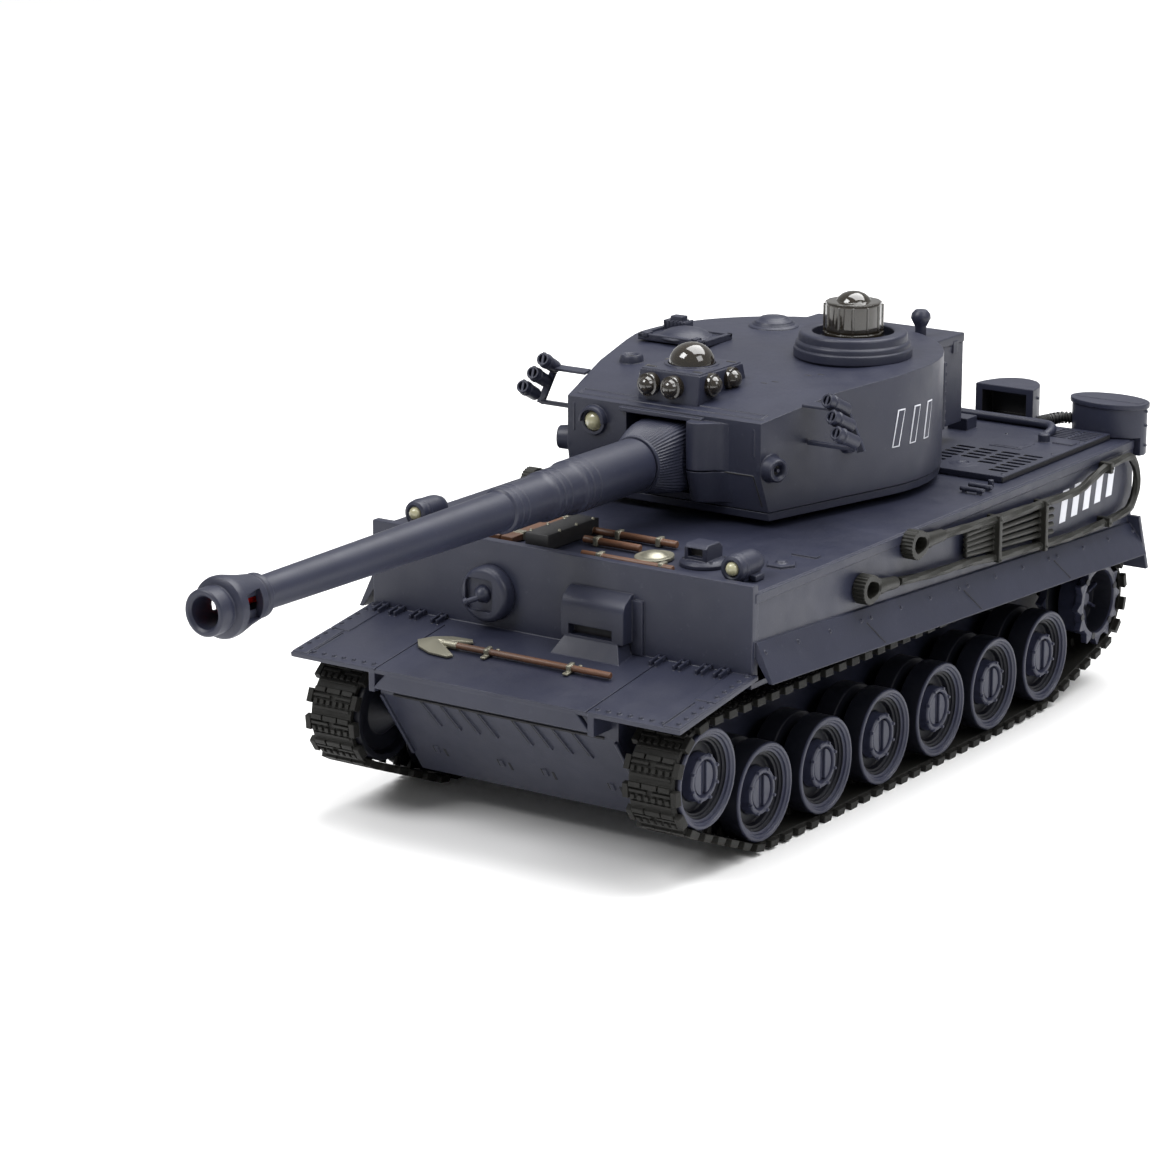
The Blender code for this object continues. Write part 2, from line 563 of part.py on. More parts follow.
def sprocket_solid():
    face = WHEEL_FACE - 0.6
    profile = [(0, face - 1.6), (5.0, face - 1.6), (8.4, face - 3.4), (9.6, face - 0.2), (11.0, face - 0.2),
               (11.0, face - 2.8), (6.0, face - 3.6), (6.0, face - 10.0), (SPROCKET_R, face - 10.8),
               (SPROCKET_R, face - 13.4), (AXLE_R, TUB_HALF + 0.8), (AXLE_R, GEAR_X - 4.0),
               (0, GEAR_X - 4.0)]
    wheel = turned(profile, (0, SPROCKET_Y, SPROCKET_Z), TO_X, WHEEL_SEGMENTS)
    teeth = []
    for index in range(SPROCKET_TEETH):
        middle = 2 * math.pi * index / SPROCKET_TEETH
        for radius, share in ((SPROCKET_R - 1.7, -0.2), (SPROCKET_R + 0.2, 0.0), (SPROCKET_R - 1.7, 0.2)):
            angle = middle + share * 2 * math.pi / SPROCKET_TEETH
            teeth.append((SPROCKET_Y + radius * math.cos(angle), SPROCKET_Z + radius * math.sin(angle)))
    ring = slab(teeth, face - 2.4, face, "X")
    cut(ring, cylinder(10.2, 0, 100, (0, SPROCKET_Y, SPROCKET_Z), TO_X, 14))
    return fuse(wheel, ring)


def hull_of(points):
    """Convex hull of flat points, anticlockwise."""
    points = sorted(points)

    def half(sequence):
        line = []
        for p in sequence:
            while len(line) > 1:
                (ax, ay), (bx, by) = line[-2], line[-1]
                if (bx - ax) * (p[1] - ay) - (by - ay) * (p[0] - ax) > 1e-9:
                    break
                line.pop()
            line.append(p)
        return line[:-1]

    return half(points) + half(list(reversed(points)))


def track_line(radius):
    """Belt line at a distance from the wheels' axes: arcs round the end wheels, straight between."""
    corners = hull_of(axle_places())
    line = []
    for index, (y, z) in enumerate(corners):
        before, after = corners[index - 1], corners[(index + 1) % len(corners)]
        start = math.atan2(z - before[1], y - before[0]) - math.pi / 2
        end = math.atan2(after[1] - z, after[0] - y) - math.pi / 2
        while end < start:
            end += 2 * math.pi
        count = max(2, int(math.degrees(end - start) / 12) + 1)
        line += arc(y, z, radius, math.degrees(start), math.degrees(end), count)
    return line


def make_track(label, side, frame):
    """Rubber belt: a closed strip of surface, thickened outwards."""
    line = track_line(WHEEL_R + TRACK_CLEARANCE)
    edges = sorted((side * TRACK_IN, side * TRACK_OUT))
    mesh = bpy.data.meshes.new("belt")
    points = [(x * MM, y * MM, z * MM) for y, z in line for x in edges]
    count = len(line)
    faces = [(2 * i, 2 * i + 1, (2 * i + 3) % (2 * count), (2 * i + 2) % (2 * count)) for i in range(count)]
    mesh.from_pydata(points, [], faces)
    belt = bpy.data.objects.new("belt", mesh)
    COLLECTION.objects.link(belt)
    solidify = belt.modifiers.new("Solidify", "SOLIDIFY")
    solidify.thickness = TRACK_THICK * MM
    solidify.use_even_offset = True
    solidify.offset = -1.0
    piece(f"track_{label}", bake(belt), "track_rubber", frame)


def make_side_gear(label, side, frame):
    """Wheels, idler, sprocket, gear, pinion and motor of one side."""
    def sided(item):
        if side > 0:
            return item
        copy = mirrored(item)
        bpy.data.objects.remove(item, do_unlink=True)
        return copy

    for index, (y, z) in enumerate(axle_places()[:-1]):
        name = f"idler_{label}" if index == 0 else f"road_wheel_{label}_{index}"
        pivot = body(name, (side * WHEEL_FACE, y, z))
        piece(name, sided(wheel_solid(y, z)), "wheel_plastic", pivot)

    pivot = body(f"sprocket_{label}", (side * WHEEL_FACE, SPROCKET_Y, SPROCKET_Z))
    piece(f"sprocket_{label}", sided(sprocket_solid()), "wheel_plastic", pivot)
    gear = spur_gear(GEAR_TEETH, GEAR_MODULE, (SPROCKET_Y, SPROCKET_Z), GEAR_X - GEAR_WIDTH / 2,
                     GEAR_X + GEAR_WIDTH / 2, "X", 180.0)
    cut(gear, cylinder(AXLE_R + 0.1, -60, 60, (0, SPROCKET_Y, SPROCKET_Z), TO_X, 12))
    piece(f"sprocket_gear_{label}", sided(gear), "gear_nylon", pivot)

    pinion_y = SPROCKET_Y - GEAR_R - PINION_R - GEAR_BACKLASH
    pivot = body(f"motor_pinion_{label}", (side * GEAR_X, pinion_y, SPROCKET_Z))
    half_tooth = 180.0 / PINION_TEETH
    pinion = spur_gear(PINION_TEETH, GEAR_MODULE, (pinion_y, SPROCKET_Z), GEAR_X - GEAR_WIDTH / 2,
                       GEAR_X + GEAR_WIDTH / 2, "X", half_tooth)
    piece(f"motor_pinion_{label}", sided(pinion), "gear_nylon", pivot)
    motor = cylinder(MOTOR_R, GEAR_X - GEAR_WIDTH / 2 - GAP - MOTOR_LENGTH, GEAR_X - GEAR_WIDTH / 2 - GAP,
                     (0, pinion_y, SPROCKET_Z), TO_X)
    piece(f"drive_motor_{label}", sided(motor), "motor_steel", frame)
    make_track(label, side, frame)


# ---------------------------------------------------------------- turret

def turret_outline(inset):
    """Horseshoe plan: flat front, sides running out to a round rear."""
    front, half, radius = TURRET_FRONT + inset, TURRET_FRONT_HALF - inset * 0.8, TURRET_R - inset
    distance = math.hypot(half, TURRET_Y - front)
    lean = math.degrees(math.acos(radius / distance))
    corner = math.degrees(math.atan2(front - TURRET_Y, half))
    start = corner + lean
    return [(TURRET_X - half, front), (TURRET_X + half, front)] + \
        arc(TURRET_X, TURRET_Y, radius, start, 180.0 - start, 29)


def roof_cutter(drop):
    """Everything above the turret's roof line, lowered by drop."""
    low = [(-40.0, ROOF_FRONT_Z - 9.0), (TURRET_FRONT, ROOF_FRONT_Z), (ROOF_BREAK_Y, ROOF_BREAK_Z),
           (ROOF_FLAT_Y, ROOF_TOP), (160.0, ROOF_TOP)]
    return slab([(y, z - drop) for y, z in low] + [(160.0, 130.0), (-40.0, 130.0)], -70.0, 70.0, "X")


def undercut_cutter():
    """Wedge taken off the foot of the turret's front face."""
    return slab([(TURRET_FRONT - 5.0, 81.0), (TURRET_FRONT, 81.0), (TURRET_FRONT + 4.4, 66.0),
                 (TURRET_FRONT - 5.0, 66.0)], -70.0, 70.0, "X")


def make_turret(frame):
    shell = slab(turret_outline(0.0), TURRET_FLOOR + GAP, 110.0)
    cut(shell, roof_cutter(0.0))
    cut(shell, undercut_cutter())
    hollow = slab(turret_outline(TURRET_WALL), 60.0, 108.0)
    cut(hollow, roof_cutter(TURRET_WALL), box((-70.0, 70.0), (0.0, TURRET_FRONT + 5.2), (50.0, 120.0)))
    cut(shell, hollow)
    slot = box((TURRET_X - SLOT_HALF, TURRET_X + SLOT_HALF), (0.0, 30.0), (SLOT_LOW, SLOT_HIGH))
    cut(shell, slot)
    fuse(shell, turned([(0, 103.2), (3.6, 103.0), (4.8, 101.6), (VENT_R, 101.4), (VENT_R, ROOF_TOP - 1.0),
                        (0, ROOF_TOP - 1.0)], (VENT_X, VENT_Y, 0), segments=20))
    piece("turret_shell", shell, "hull_plastic", frame)

    base = slab(turret_outline(0.4), TURRET_BASE, TURRET_FLOOR)
    cut(base, undercut_cutter())
    gear = spur_gear(TRAVERSE_TEETH, TRAVERSE_MODULE, (TURRET_X, TURRET_Y), 56.0, 60.0, "Z", 0.0)
    fuse(base, cylinder(TRAVERSE_GEAR_R - 2.0, 58.0, TURRET_BASE + 1.0, (TURRET_X, TURRET_Y, 0), segments=32),
         gear)
    cut(base, cylinder(14.0, 50.0, 75.0, (TURRET_X, TURRET_Y, 0)))
    piece("turret_base", base, "hull_plastic", frame)

    cupola = turned([(0, CUPOLA_FLOOR), (10.5, CUPOLA_FLOOR), (10.5, CUPOLA_TOP), (13.4, CUPOLA_TOP),
                     (13.8, 104.0), (CUPOLA_R, 103.4), (CUPOLA_R, ROOF_TOP + GAP), (0, ROOF_TOP + GAP)],
                    (CUPOLA_X, CUPOLA_Y, 0), segments=32)
    piece("commander_cupola", cupola, "hull_plastic", frame)
    cap = turned([(0, 117.3), (3.0, 116.6), (4.6, 115.0), (7.0, 113.6), (7.6, 112.0),
                  (7.6, CUPOLA_FLOOR + GAP), (0, CUPOLA_FLOOR + GAP)], (CUPOLA_X, CUPOLA_Y, 0), segments=12)
    piece("ir_receiver_cap", cap, "smoked_clear", frame)

    pod = slab([(20.6, 95.7), (21.4, POD_TOP), (41.8, POD_TOP), (43.4, 99.4)], POD_LOW_X, POD_HIGH_X, "X")
    piece("sensor_pod", pod, "hull_plastic", frame)
    piece("sensor_dome", dome(SENSOR_R, 5.2, (SENSOR_X, SENSOR_Y, POD_TOP + GAP)), "smoked_clear", frame)

    hatch = box((-40.0, -19.0), (58.0, 74.0), (ROOF_TOP + GAP, 101.6))
    fuse(hatch, turned([(0, 103.2), (4.0, 103.0), (7.0, 102.2), (7.6, 101.4), (0, 101.4)],
                       (HATCH_X, HATCH_Y, 0)))
    cut(hatch, box((-45.0, 0.0), (40.0, ROOF_FLAT_Y - 8.5), (90.0, 110.0)))
    piece("loader_hatch", hatch, "hull_plastic", frame)
    bin_box = box((BIN_LOW_X, BIN_HIGH_X), (104.0, BIN_REAR), (BIN_LOW, BIN_TOP))
    cut(bin_box, cylinder(TURRET_R + GAP, 60, 110, (TURRET_X, TURRET_Y, 0), segments=64))
    piece("stowage_bin", bin_box, "hull_plastic", frame)

    for side, label in ((1, "left"), (-1, "right")):
        make_smoke_launcher(label, side, frame)


def make_smoke_launcher(label, side, frame):
    """Three stub tubes, pointing up and forward, on an arm from the turret's side."""
    lean = Vector((side * LAUNCHER_LEAN[0], *LAUNCHER_LEAN[1:])).normalized()
    turn = lean.to_track_quat("Z", "Y").to_matrix().to_4x4()
    arm = box(sorted((TURRET_X + side * 30.0, TURRET_X + side * 44.5)), (29.0, 34.0), (96.4, 97.8))
    post = box(sorted((TURRET_X + side * 43.2, TURRET_X + side * 49.4)), (29.0, 31.4), (87.0, 97.8))
    tubes = []
    for row in range(3):
        mouth = (TURRET_X + side * (42.7 + 2.2 * row), 24.5 - 1.4 * row, 100.1 - 3.5 * row)
        tubes.append(cylinder(LAUNCHER_R, 0.0, LAUNCHER_LENGTH, mouth, turn, 12))
    fuse(arm, post, *tubes)
    cut(arm, slab(turret_outline(-GAP), 60.0, 110.0))
    piece(f"smoke_launcher_{label}", arm, "olive_plastic", frame)


def make_traverse_drive(frame, pinion_frame, pinion_place):
    x, y = pinion_place
    phase = math.degrees(math.atan2(TURRET_Y - y, TURRET_X - x)) + 180.0 / TRAVERSE_PINION_TEETH
    pinion = spur_gear(TRAVERSE_PINION_TEETH, TRAVERSE_MODULE, pinion_place, 56.0, 60.0, "Z", phase)
    piece("traverse_pinion", pinion, "gear_nylon", pinion_frame)
    motor = cylinder(MOTOR_R, 48.6, 56.0 - GAP, (x, y, 0))
    piece("traverse_motor", motor, "motor_steel", frame)


# ---------------------------------------------------------------- gun

def make_gun(frame):
    drum = cylinder(DRUM_R, -DRUM_HALF, DRUM_HALF, (TURRET_X, PIVOT_Y, GUN_Z), TO_X, 32)
    backwards = Matrix.Rotation(math.radians(90), 4, "X")
    sleeve = turned([(0, SLEEVE_END), (6.4, SLEEVE_END), (8.6, 6.0), (8.6, 0.0), (0, 0.0)],
                    (TURRET_X, PIVOT_Y, GUN_Z), backwards)
    fuse(drum, sleeve)
    piece("mantlet", drum, "hull_plastic", frame)

    start = SLEEVE_END + GAP
    profile = [(0, BARREL_END), (3.9, BARREL_END), (5.0, 72.0), (5.6, 71.6), (5.6, 56.0), (6.2, 55.0),
               (6.2, 45.0), (6.8, 44.0), (6.8, start), (0, start)]
    barrel = turned(profile, (TURRET_X, PIVOT_Y, GUN_Z), backwards)
    piece("gun_barrel", barrel, "hull_plastic", frame)

    tip = PIVOT_Y - MUZZLE_TIP
    brake = turned([(0, tip), (5.2, tip), (5.4, tip - 4.6), (6.7, tip - 5.2), (7.1, tip - 6.2),
                    (6.9, tip - 7.8), (5.2, tip - 16.4), (4.9, BARREL_END + GAP), (0, BARREL_END + GAP)],
                   (TURRET_X, PIVOT_Y, GUN_Z), backwards)
    cut(brake, cylinder(BORE_R, BARREL_END - 4.0, 200.0, (TURRET_X, PIVOT_Y, GUN_Z), backwards, 16))
    piece("muzzle_brake", brake, "hull_plastic", frame)
    lens = turned([(0, tip - 5.6), (1.6, tip - 6.2), (2.8, tip - 8.0), (2.8, BARREL_END + GAP),
                   (0, BARREL_END + GAP)],
                  (TURRET_X, PIVOT_Y, GUN_Z), backwards, 16)
    piece("muzzle_lens", lens, "red_clear", frame)


def build_tank():
    hull = body("hull", (0, 0, 0))
    make_upper_hull(hull)
    make_lower_hull(hull)
    make_belly(hull, body("power_switch", (0, 107.5, TUB_BOTTOM)))
    make_engine_deck(hull)
    make_hull_fittings(hull)
    for side, label in ((1, "left"), (-1, "right")):
        make_side_gear(label, side, hull)
    pinion_distance = TRAVERSE_GEAR_R + TRAVERSE_PINION_R + 2 * GAP
    pinion_place = (TURRET_X, TURRET_Y - pinion_distance)
    make_traverse_drive(hull, body("traverse_pinion", (*pinion_place, 58.0)), pinion_place)
    turret = body("turret", (TURRET_X, TURRET_Y, TURRET_BASE))
    make_turret(turret)
    make_gun(body("gun", (TURRET_X, PIVOT_Y, GUN_Z)))
    for item in COLLECTION.objects:
        if item.type == "EMPTY":
            item.location.y += CENTRE_SHIFT * MM


clear_scene()
COLLECTION = bpy.data.collections.new("model_tank")
bpy.context.scene.collection.children.link(COLLECTION)
MADE = make_materials()
build_tank()
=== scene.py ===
"""Radio-controlled model tank: the visible pieces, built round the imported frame.

World frame: +Z up, the tank faces -Y and its left side is +X. Sizes are in millimetres;
MM turns them into metres.
"""
from math import acos, atan, atan2, cos, degrees, hypot, pi, radians, sin

import bmesh
import bpy
from mathutils import Matrix, Vector


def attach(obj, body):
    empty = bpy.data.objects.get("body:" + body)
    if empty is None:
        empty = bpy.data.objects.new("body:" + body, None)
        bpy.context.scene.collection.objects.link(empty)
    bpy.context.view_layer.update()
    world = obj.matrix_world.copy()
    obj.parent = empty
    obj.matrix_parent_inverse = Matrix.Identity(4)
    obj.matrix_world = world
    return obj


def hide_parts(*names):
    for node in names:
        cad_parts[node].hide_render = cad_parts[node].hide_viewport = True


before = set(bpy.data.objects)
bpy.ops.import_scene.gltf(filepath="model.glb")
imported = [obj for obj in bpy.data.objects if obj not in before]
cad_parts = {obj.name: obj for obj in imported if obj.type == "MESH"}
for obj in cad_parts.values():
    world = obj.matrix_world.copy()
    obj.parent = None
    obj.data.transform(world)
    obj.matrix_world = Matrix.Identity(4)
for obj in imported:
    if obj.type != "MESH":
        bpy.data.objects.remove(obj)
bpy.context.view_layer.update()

MM = 0.001

# Shapes are drawn in the hull's own coordinates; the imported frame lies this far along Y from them
SHIFT_Y = -3.9

# Hull
HULL_HALF, HULL_FRONT, HULL_REAR, ROOF, WALL = 56.0, -32.8, 160.5, 67.0, 1.8
PLATE_FRONT, PLATE_TOP = -33.8, 68.9
JUNCTION_FRONT, JUNCTION_REAR = 55.1, 43.8
SKIRT_HALF, SKIRT_FRONT, SKIRT_REAR, SKIRT_LEDGE = 61.3, 45.6, 35.2, 0.7
FENDER_HALF, FENDER_FRONT, FENDER_THICK, FENDER_LENGTH = 57.0, -66.0, 1.3, 34.0
FENDER_FRONT_Z, FENDER_REAR_Z = 42.1, 47.2
NOSE_TOP_Y, NOSE_Z, NOSE_FOOT_Y, TUB_BOTTOM = -58.5, 33.5, -42.0, 10.0
DECK_HALF, DECK_FRONT, DECK_REAR, DECK_TOP = 51.5, 95.0, 155.4, 68.8

# Running gear
WHEEL_PITCH, WHEEL_FIRST_Y, WHEEL_COUNT = 28.2, -23.8, 6
WHEEL_Z, END_WHEEL_Z = 14.55, 15.3
IDLER, SPROCKET = (-49.3, 25.5), (148.3, 23.4)
SPROCKET_TEETH = 12
TRACK_IN, TRACK_OUT, TRACK_THICK, TRACK_RADIUS = 39.3, 54.8, 1.9, 12.65
LINK_PITCH = 6.2

# Turret and gun
TURRET_X, TURRET_Y, TURRET_R = -2.5, 71.7, 42.5
TURRET_FRONT, TURRET_FRONT_HALF = 16.2, 29.0
ROOF_FRONT_Z, ROOF_BREAK_Y, ROOF_BREAK_Z, TURRET_ROOF = 94.5, 40.0, 98.6, 100.5
UNDERCUT_TOP, UNDERCUT_SLOPE = 81.0, 0.29
GUN_Z, PIVOT_Y, MUZZLE_TIP = 82.8, 18.2, -162.4
CUPOLA_X, CUPOLA_Y = 16.7, 76.2

TO_X = Matrix.Rotation(radians(90), 4, "Y")
TO_REAR = Matrix.Rotation(radians(-90), 4, "X")
TO_FRONT = Matrix.Rotation(radians(90), 4, "X")
STAY = Matrix.Identity(4)
SIDES = (("left", 1), ("right", -1))


# ---------------------------------------------------------------- shapes

def at(x, y, z):
    return Matrix.Translation((x * MM, y * MM, z * MM))


def moved(tool, matrix):
    bmesh.ops.transform(tool, matrix=matrix, verts=tool.verts)
    return tool


def flipped(tool):
    """The same shape on the other side of the tank."""
    bmesh.ops.scale(tool, vec=(-1, 1, 1), verts=tool.verts)
    bmesh.ops.reverse_faces(tool, faces=tool.faces)
    return tool


def sided(tool, side):
    """A shape drawn on the left (+1), flipped if it is wanted on the right (-1)."""
    return tool if side > 0 else flipped(tool)


def painted(tool, index):
    for face in tool.faces:
        face.material_index = index
    return tool


def point(x, y, z):
    return Vector((x, y, z)) * MM


def bridged(tool, rings, caps=True, loop=False):
    """Faces between successive rings of vertices, and the two ends."""
    for first, second in zip(rings, rings[1:] + (rings[:1] if loop else [])):
        count = len(first)
        for k in range(count):
            after = (k + 1) % count
            tool.faces.new((first[k], first[after], second[after], second[k]))
    return [tool.faces.new(rings[0][::-1]), tool.faces.new(rings[-1])] if caps else []


def softened(tool, edges, width):
    if width > 0:
        bmesh.ops.recalc_face_normals(tool, faces=tool.faces)
        bmesh.ops.bevel(tool, geom=edges, offset=width * MM, segments=2, profile=0.6, affect="EDGES")
    return tool


def box(x_range, y_range, z_range, soft=0.2):
    ranges = (sorted(x_range), sorted(y_range), sorted(z_range))
    size = [high - low for low, high in ranges]
    centre = [(high + low) / 2 for low, high in ranges]
    tool = bmesh.new()
    scale = Matrix.Diagonal((*(value * MM for value in size), 1))
    bmesh.ops.create_cube(tool, size=1.0, matrix=at(*centre) @ scale)
    return softened(tool, tool.edges[:], min(soft, 0.3 * min(size)))


def turned(profile, place=STAY, segments=32, loop=False):
    """Solid of revolution about +Z from (radius, height) points, top to bottom."""
    tool = bmesh.new()
    rings = []
    for radius, height in profile:
        count = segments if radius > 1e-6 else 1
        angles = [2 * pi * k / segments for k in range(count)]
        rings.append([tool.verts.new((radius * cos(a) * MM, radius * sin(a) * MM, height * MM))
                      for a in angles])
    pairs = list(zip(rings, rings[1:])) + ([(rings[-1], rings[0])] if loop else [])
    for upper, lower in pairs:
        for k in range(segments):
            after = k + 1
            corners = (upper[k % len(upper)], upper[after % len(upper)],
                       lower[after % len(lower)], lower[k % len(lower)])
            corners = list(dict.fromkeys(corners))
            if len(corners) > 2:
                tool.faces.new(corners)
    return moved(tool, place)


def spot(u, v, w, axis):
    return Vector({"Z": (u, v, w), "X": (w, u, v), "Y": (u, w, v)}[axis]) * MM


def slab(outline, low, high, axis="Z", soft=0.2):
    """Flat outline made solid from low to high: (x, y) for Z, (y, z) for X, (x, z) for Y."""
    tool = bmesh.new()
    ends = [[tool.verts.new(spot(u, v, w, axis)) for u, v in outline] for w in (low, high)]
    edges = [edge for cap in bridged(tool, ends) for edge in cap.edges]
    return softened(tool, edges, min(soft, 0.3 * abs(high - low)))


def ring_slab(outer, inner, low, high):
    """Flat ring across X between two (y, z) outlines with the same number of points."""
    tool = bmesh.new()
    loops = [[tool.verts.new(spot(u, v, w, "X")) for u, v in line]
             for line, w in ((outer, low), (outer, high), (inner, high), (inner, low))]
    bridged(tool, loops, caps=False, loop=True)
    return tool


def stud(place, normal, radius=0.6, height=0.35):
    """Small flat-headed rivet, half sunk in the surface."""
    tool = bmesh.new()
    turn = Vector(normal).to_track_quat("Z", "Y").to_matrix().to_4x4()
    bmesh.ops.create_cone(tool, cap_ends=True, segments=8, radius1=radius * MM,
                          radius2=radius * 0.62 * MM, depth=2 * height * MM, matrix=at(*place) @ turn)
    return tool


def rod(start, end, radius, segments=12):
    """Round bar between two points with eased ends."""
    start, end = Vector(start), Vector(end)
    length = (end - start).length
    soft = min(0.15, radius * 0.4)
    turn = (end - start).to_track_quat("Z", "Y").to_matrix().to_4x4()
    profile = [(0, length), (radius - soft, length), (radius, length - soft), (radius, soft),
               (radius - soft, 0), (0, 0)]
    return turned(profile, at(*start) @ turn, segments)


def smooth_route(points, step):
    """Points about a step apart on a smooth curve through the given ones."""
    points = [Vector(p) for p in points]
    ends = [2 * points[0] - points[1]] + points + [2 * points[-1] - points[-2]]
    route = []
    for a, b, c, d in zip(ends, ends[1:], ends[2:], ends[3:]):
        count = max(1, round((c - b).length / step))
        for k in range(count):
            t = k / count
            route.append(0.5 * (2 * b + (c - a) * t + (2 * a - 5 * b + 4 * c - d) * t ** 2
                                + (3 * b - a - 3 * c + d) * t ** 3))
    return route + [points[-1]]


def tube(route, radius, segments=12, lobes=0, depth=0.0, turn_per_step=0.0):
    """Round or twisted bar along a route, closed at both ends."""
    route = [Vector(p) for p in route]
    tool = bmesh.new()
    rings = []
    side = None
    for k, centre in enumerate(route):
        ahead = (route[min(k + 1, len(route) - 1)] - route[max(k - 1, 0)]).normalized()
        side = (side or ahead.orthogonal())
        side = (side - ahead * side.dot(ahead)).normalized()
        across = ahead.cross(side)
        ring = []
        for j in range(segments):
            angle = 2 * pi * j / segments
            reach = radius + depth * cos(lobes * angle + turn_per_step * k)
            outward = side * cos(angle) + across * sin(angle)
            ring.append(tool.verts.new((centre + reach * outward) * MM))
        rings.append(ring)
    bridged(tool, rings)
    return tool


def arc(centre_x, centre_y, radius, start_deg, end_deg, count):
    """Points along an arc, both ends included."""
    step = (end_deg - start_deg) / (count - 1)
    angles = [radians(start_deg + step * i) for i in range(count)]
    return [(centre_x + radius * cos(a), centre_y + radius * sin(a)) for a in angles]


def oval(centre, half_x, half_y, count, last_deg):
    circle = arc(0.0, 0.0, 1.0, 0.0, last_deg, count)
    return [(centre[0] + half_x * u, centre[1] + half_y * v) for u, v in circle]


def joined(tools):
    whole = bmesh.new()
    for tool in tools:
        mesh = bpy.data.meshes.new("part")
        tool.to_mesh(mesh)
        tool.free()
        whole.from_mesh(mesh)
        bpy.data.meshes.remove(mesh)
    return whole


def work_object(tool):
    tool.normal_update()
    bmesh.ops.recalc_face_normals(tool, faces=tool.faces)
    bmesh.ops.triangulate(tool, faces=tool.faces)
    mesh = bpy.data.meshes.new("work")
    tool.to_mesh(mesh)
    tool.free()
    item = bpy.data.objects.new("work", mesh)
    bpy.context.scene.collection.objects.link(item)
    return item


def carved(base, *cutters):
    """Base with the cutters' shapes taken out."""
    item = work_object(base)
    for cutter in cutters:
        tool = work_object(cutter)
        modifier = item.modifiers.new("Cut", "BOOLEAN")
        modifier.operation = "DIFFERENCE"
        modifier.solver = "EXACT"
        modifier.object = tool
        bpy.context.view_layer.update()
        mesh = bpy.data.meshes.new_from_object(item.evaluated_get(bpy.context.evaluated_depsgraph_get()))
        item.modifiers.remove(modifier)
        item.data = mesh
        bpy.data.objects.remove(tool, do_unlink=True)
    result = bmesh.new()
    result.from_mesh(item.data)
    bpy.data.objects.remove(item, do_unlink=True)
    bmesh.ops.remove_doubles(result, verts=result.verts, dist=1e-6)
    bmesh.ops.dissolve_limit(result, angle_limit=radians(1), verts=result.verts, edges=result.edges)
    return result


def node_shape(name):
    """A copy of a CAD node's own mesh, to add detail to."""
    tool = bmesh.new()
    tool.from_mesh(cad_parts[name].data)
    moved(tool, at(0, -SHIFT_Y, 0))
    bmesh.ops.remove_doubles(tool, verts=tool.verts, dist=1e-6)
    bmesh.ops.dissolve_limit(tool, angle_limit=radians(1), verts=tool.verts, edges=tool.edges)
    return painted(tool, 0)


def show(name, body, nodes, shape, materials, sharp=38.0):
    """Finish a piece, made of one shape or several: give it its materials and hang it on its body."""
    tool = joined(shape) if isinstance(shape, list) else shape
    bmesh.ops.recalc_face_normals(tool, faces=tool.faces)
    moved(tool, at(0, SHIFT_Y, 0))
    mesh = bpy.data.meshes.new(name)
    tool.to_mesh(mesh)
    tool.free()
    item = bpy.data.objects.new(name, mesh)
    bpy.context.scene.collection.objects.link(item)
    for material in materials:
        mesh.materials.append(MADE[material])
    mesh.shade_smooth()
    mesh.set_sharp_from_angle(angle=radians(sharp))
    normals = item.modifiers.new("Normals", "WEIGHTED_NORMAL")
    normals.keep_sharp = True
    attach(item, body)
    if nodes:
        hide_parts(*nodes)
    return item


# ---------------------------------------------------------------- materials

def node_in(tree, kind, place, **values):
    node = tree.nodes.new(kind)
    node.location = place
    for key, value in values.items():
        node.inputs[key].default_value = value
    return node


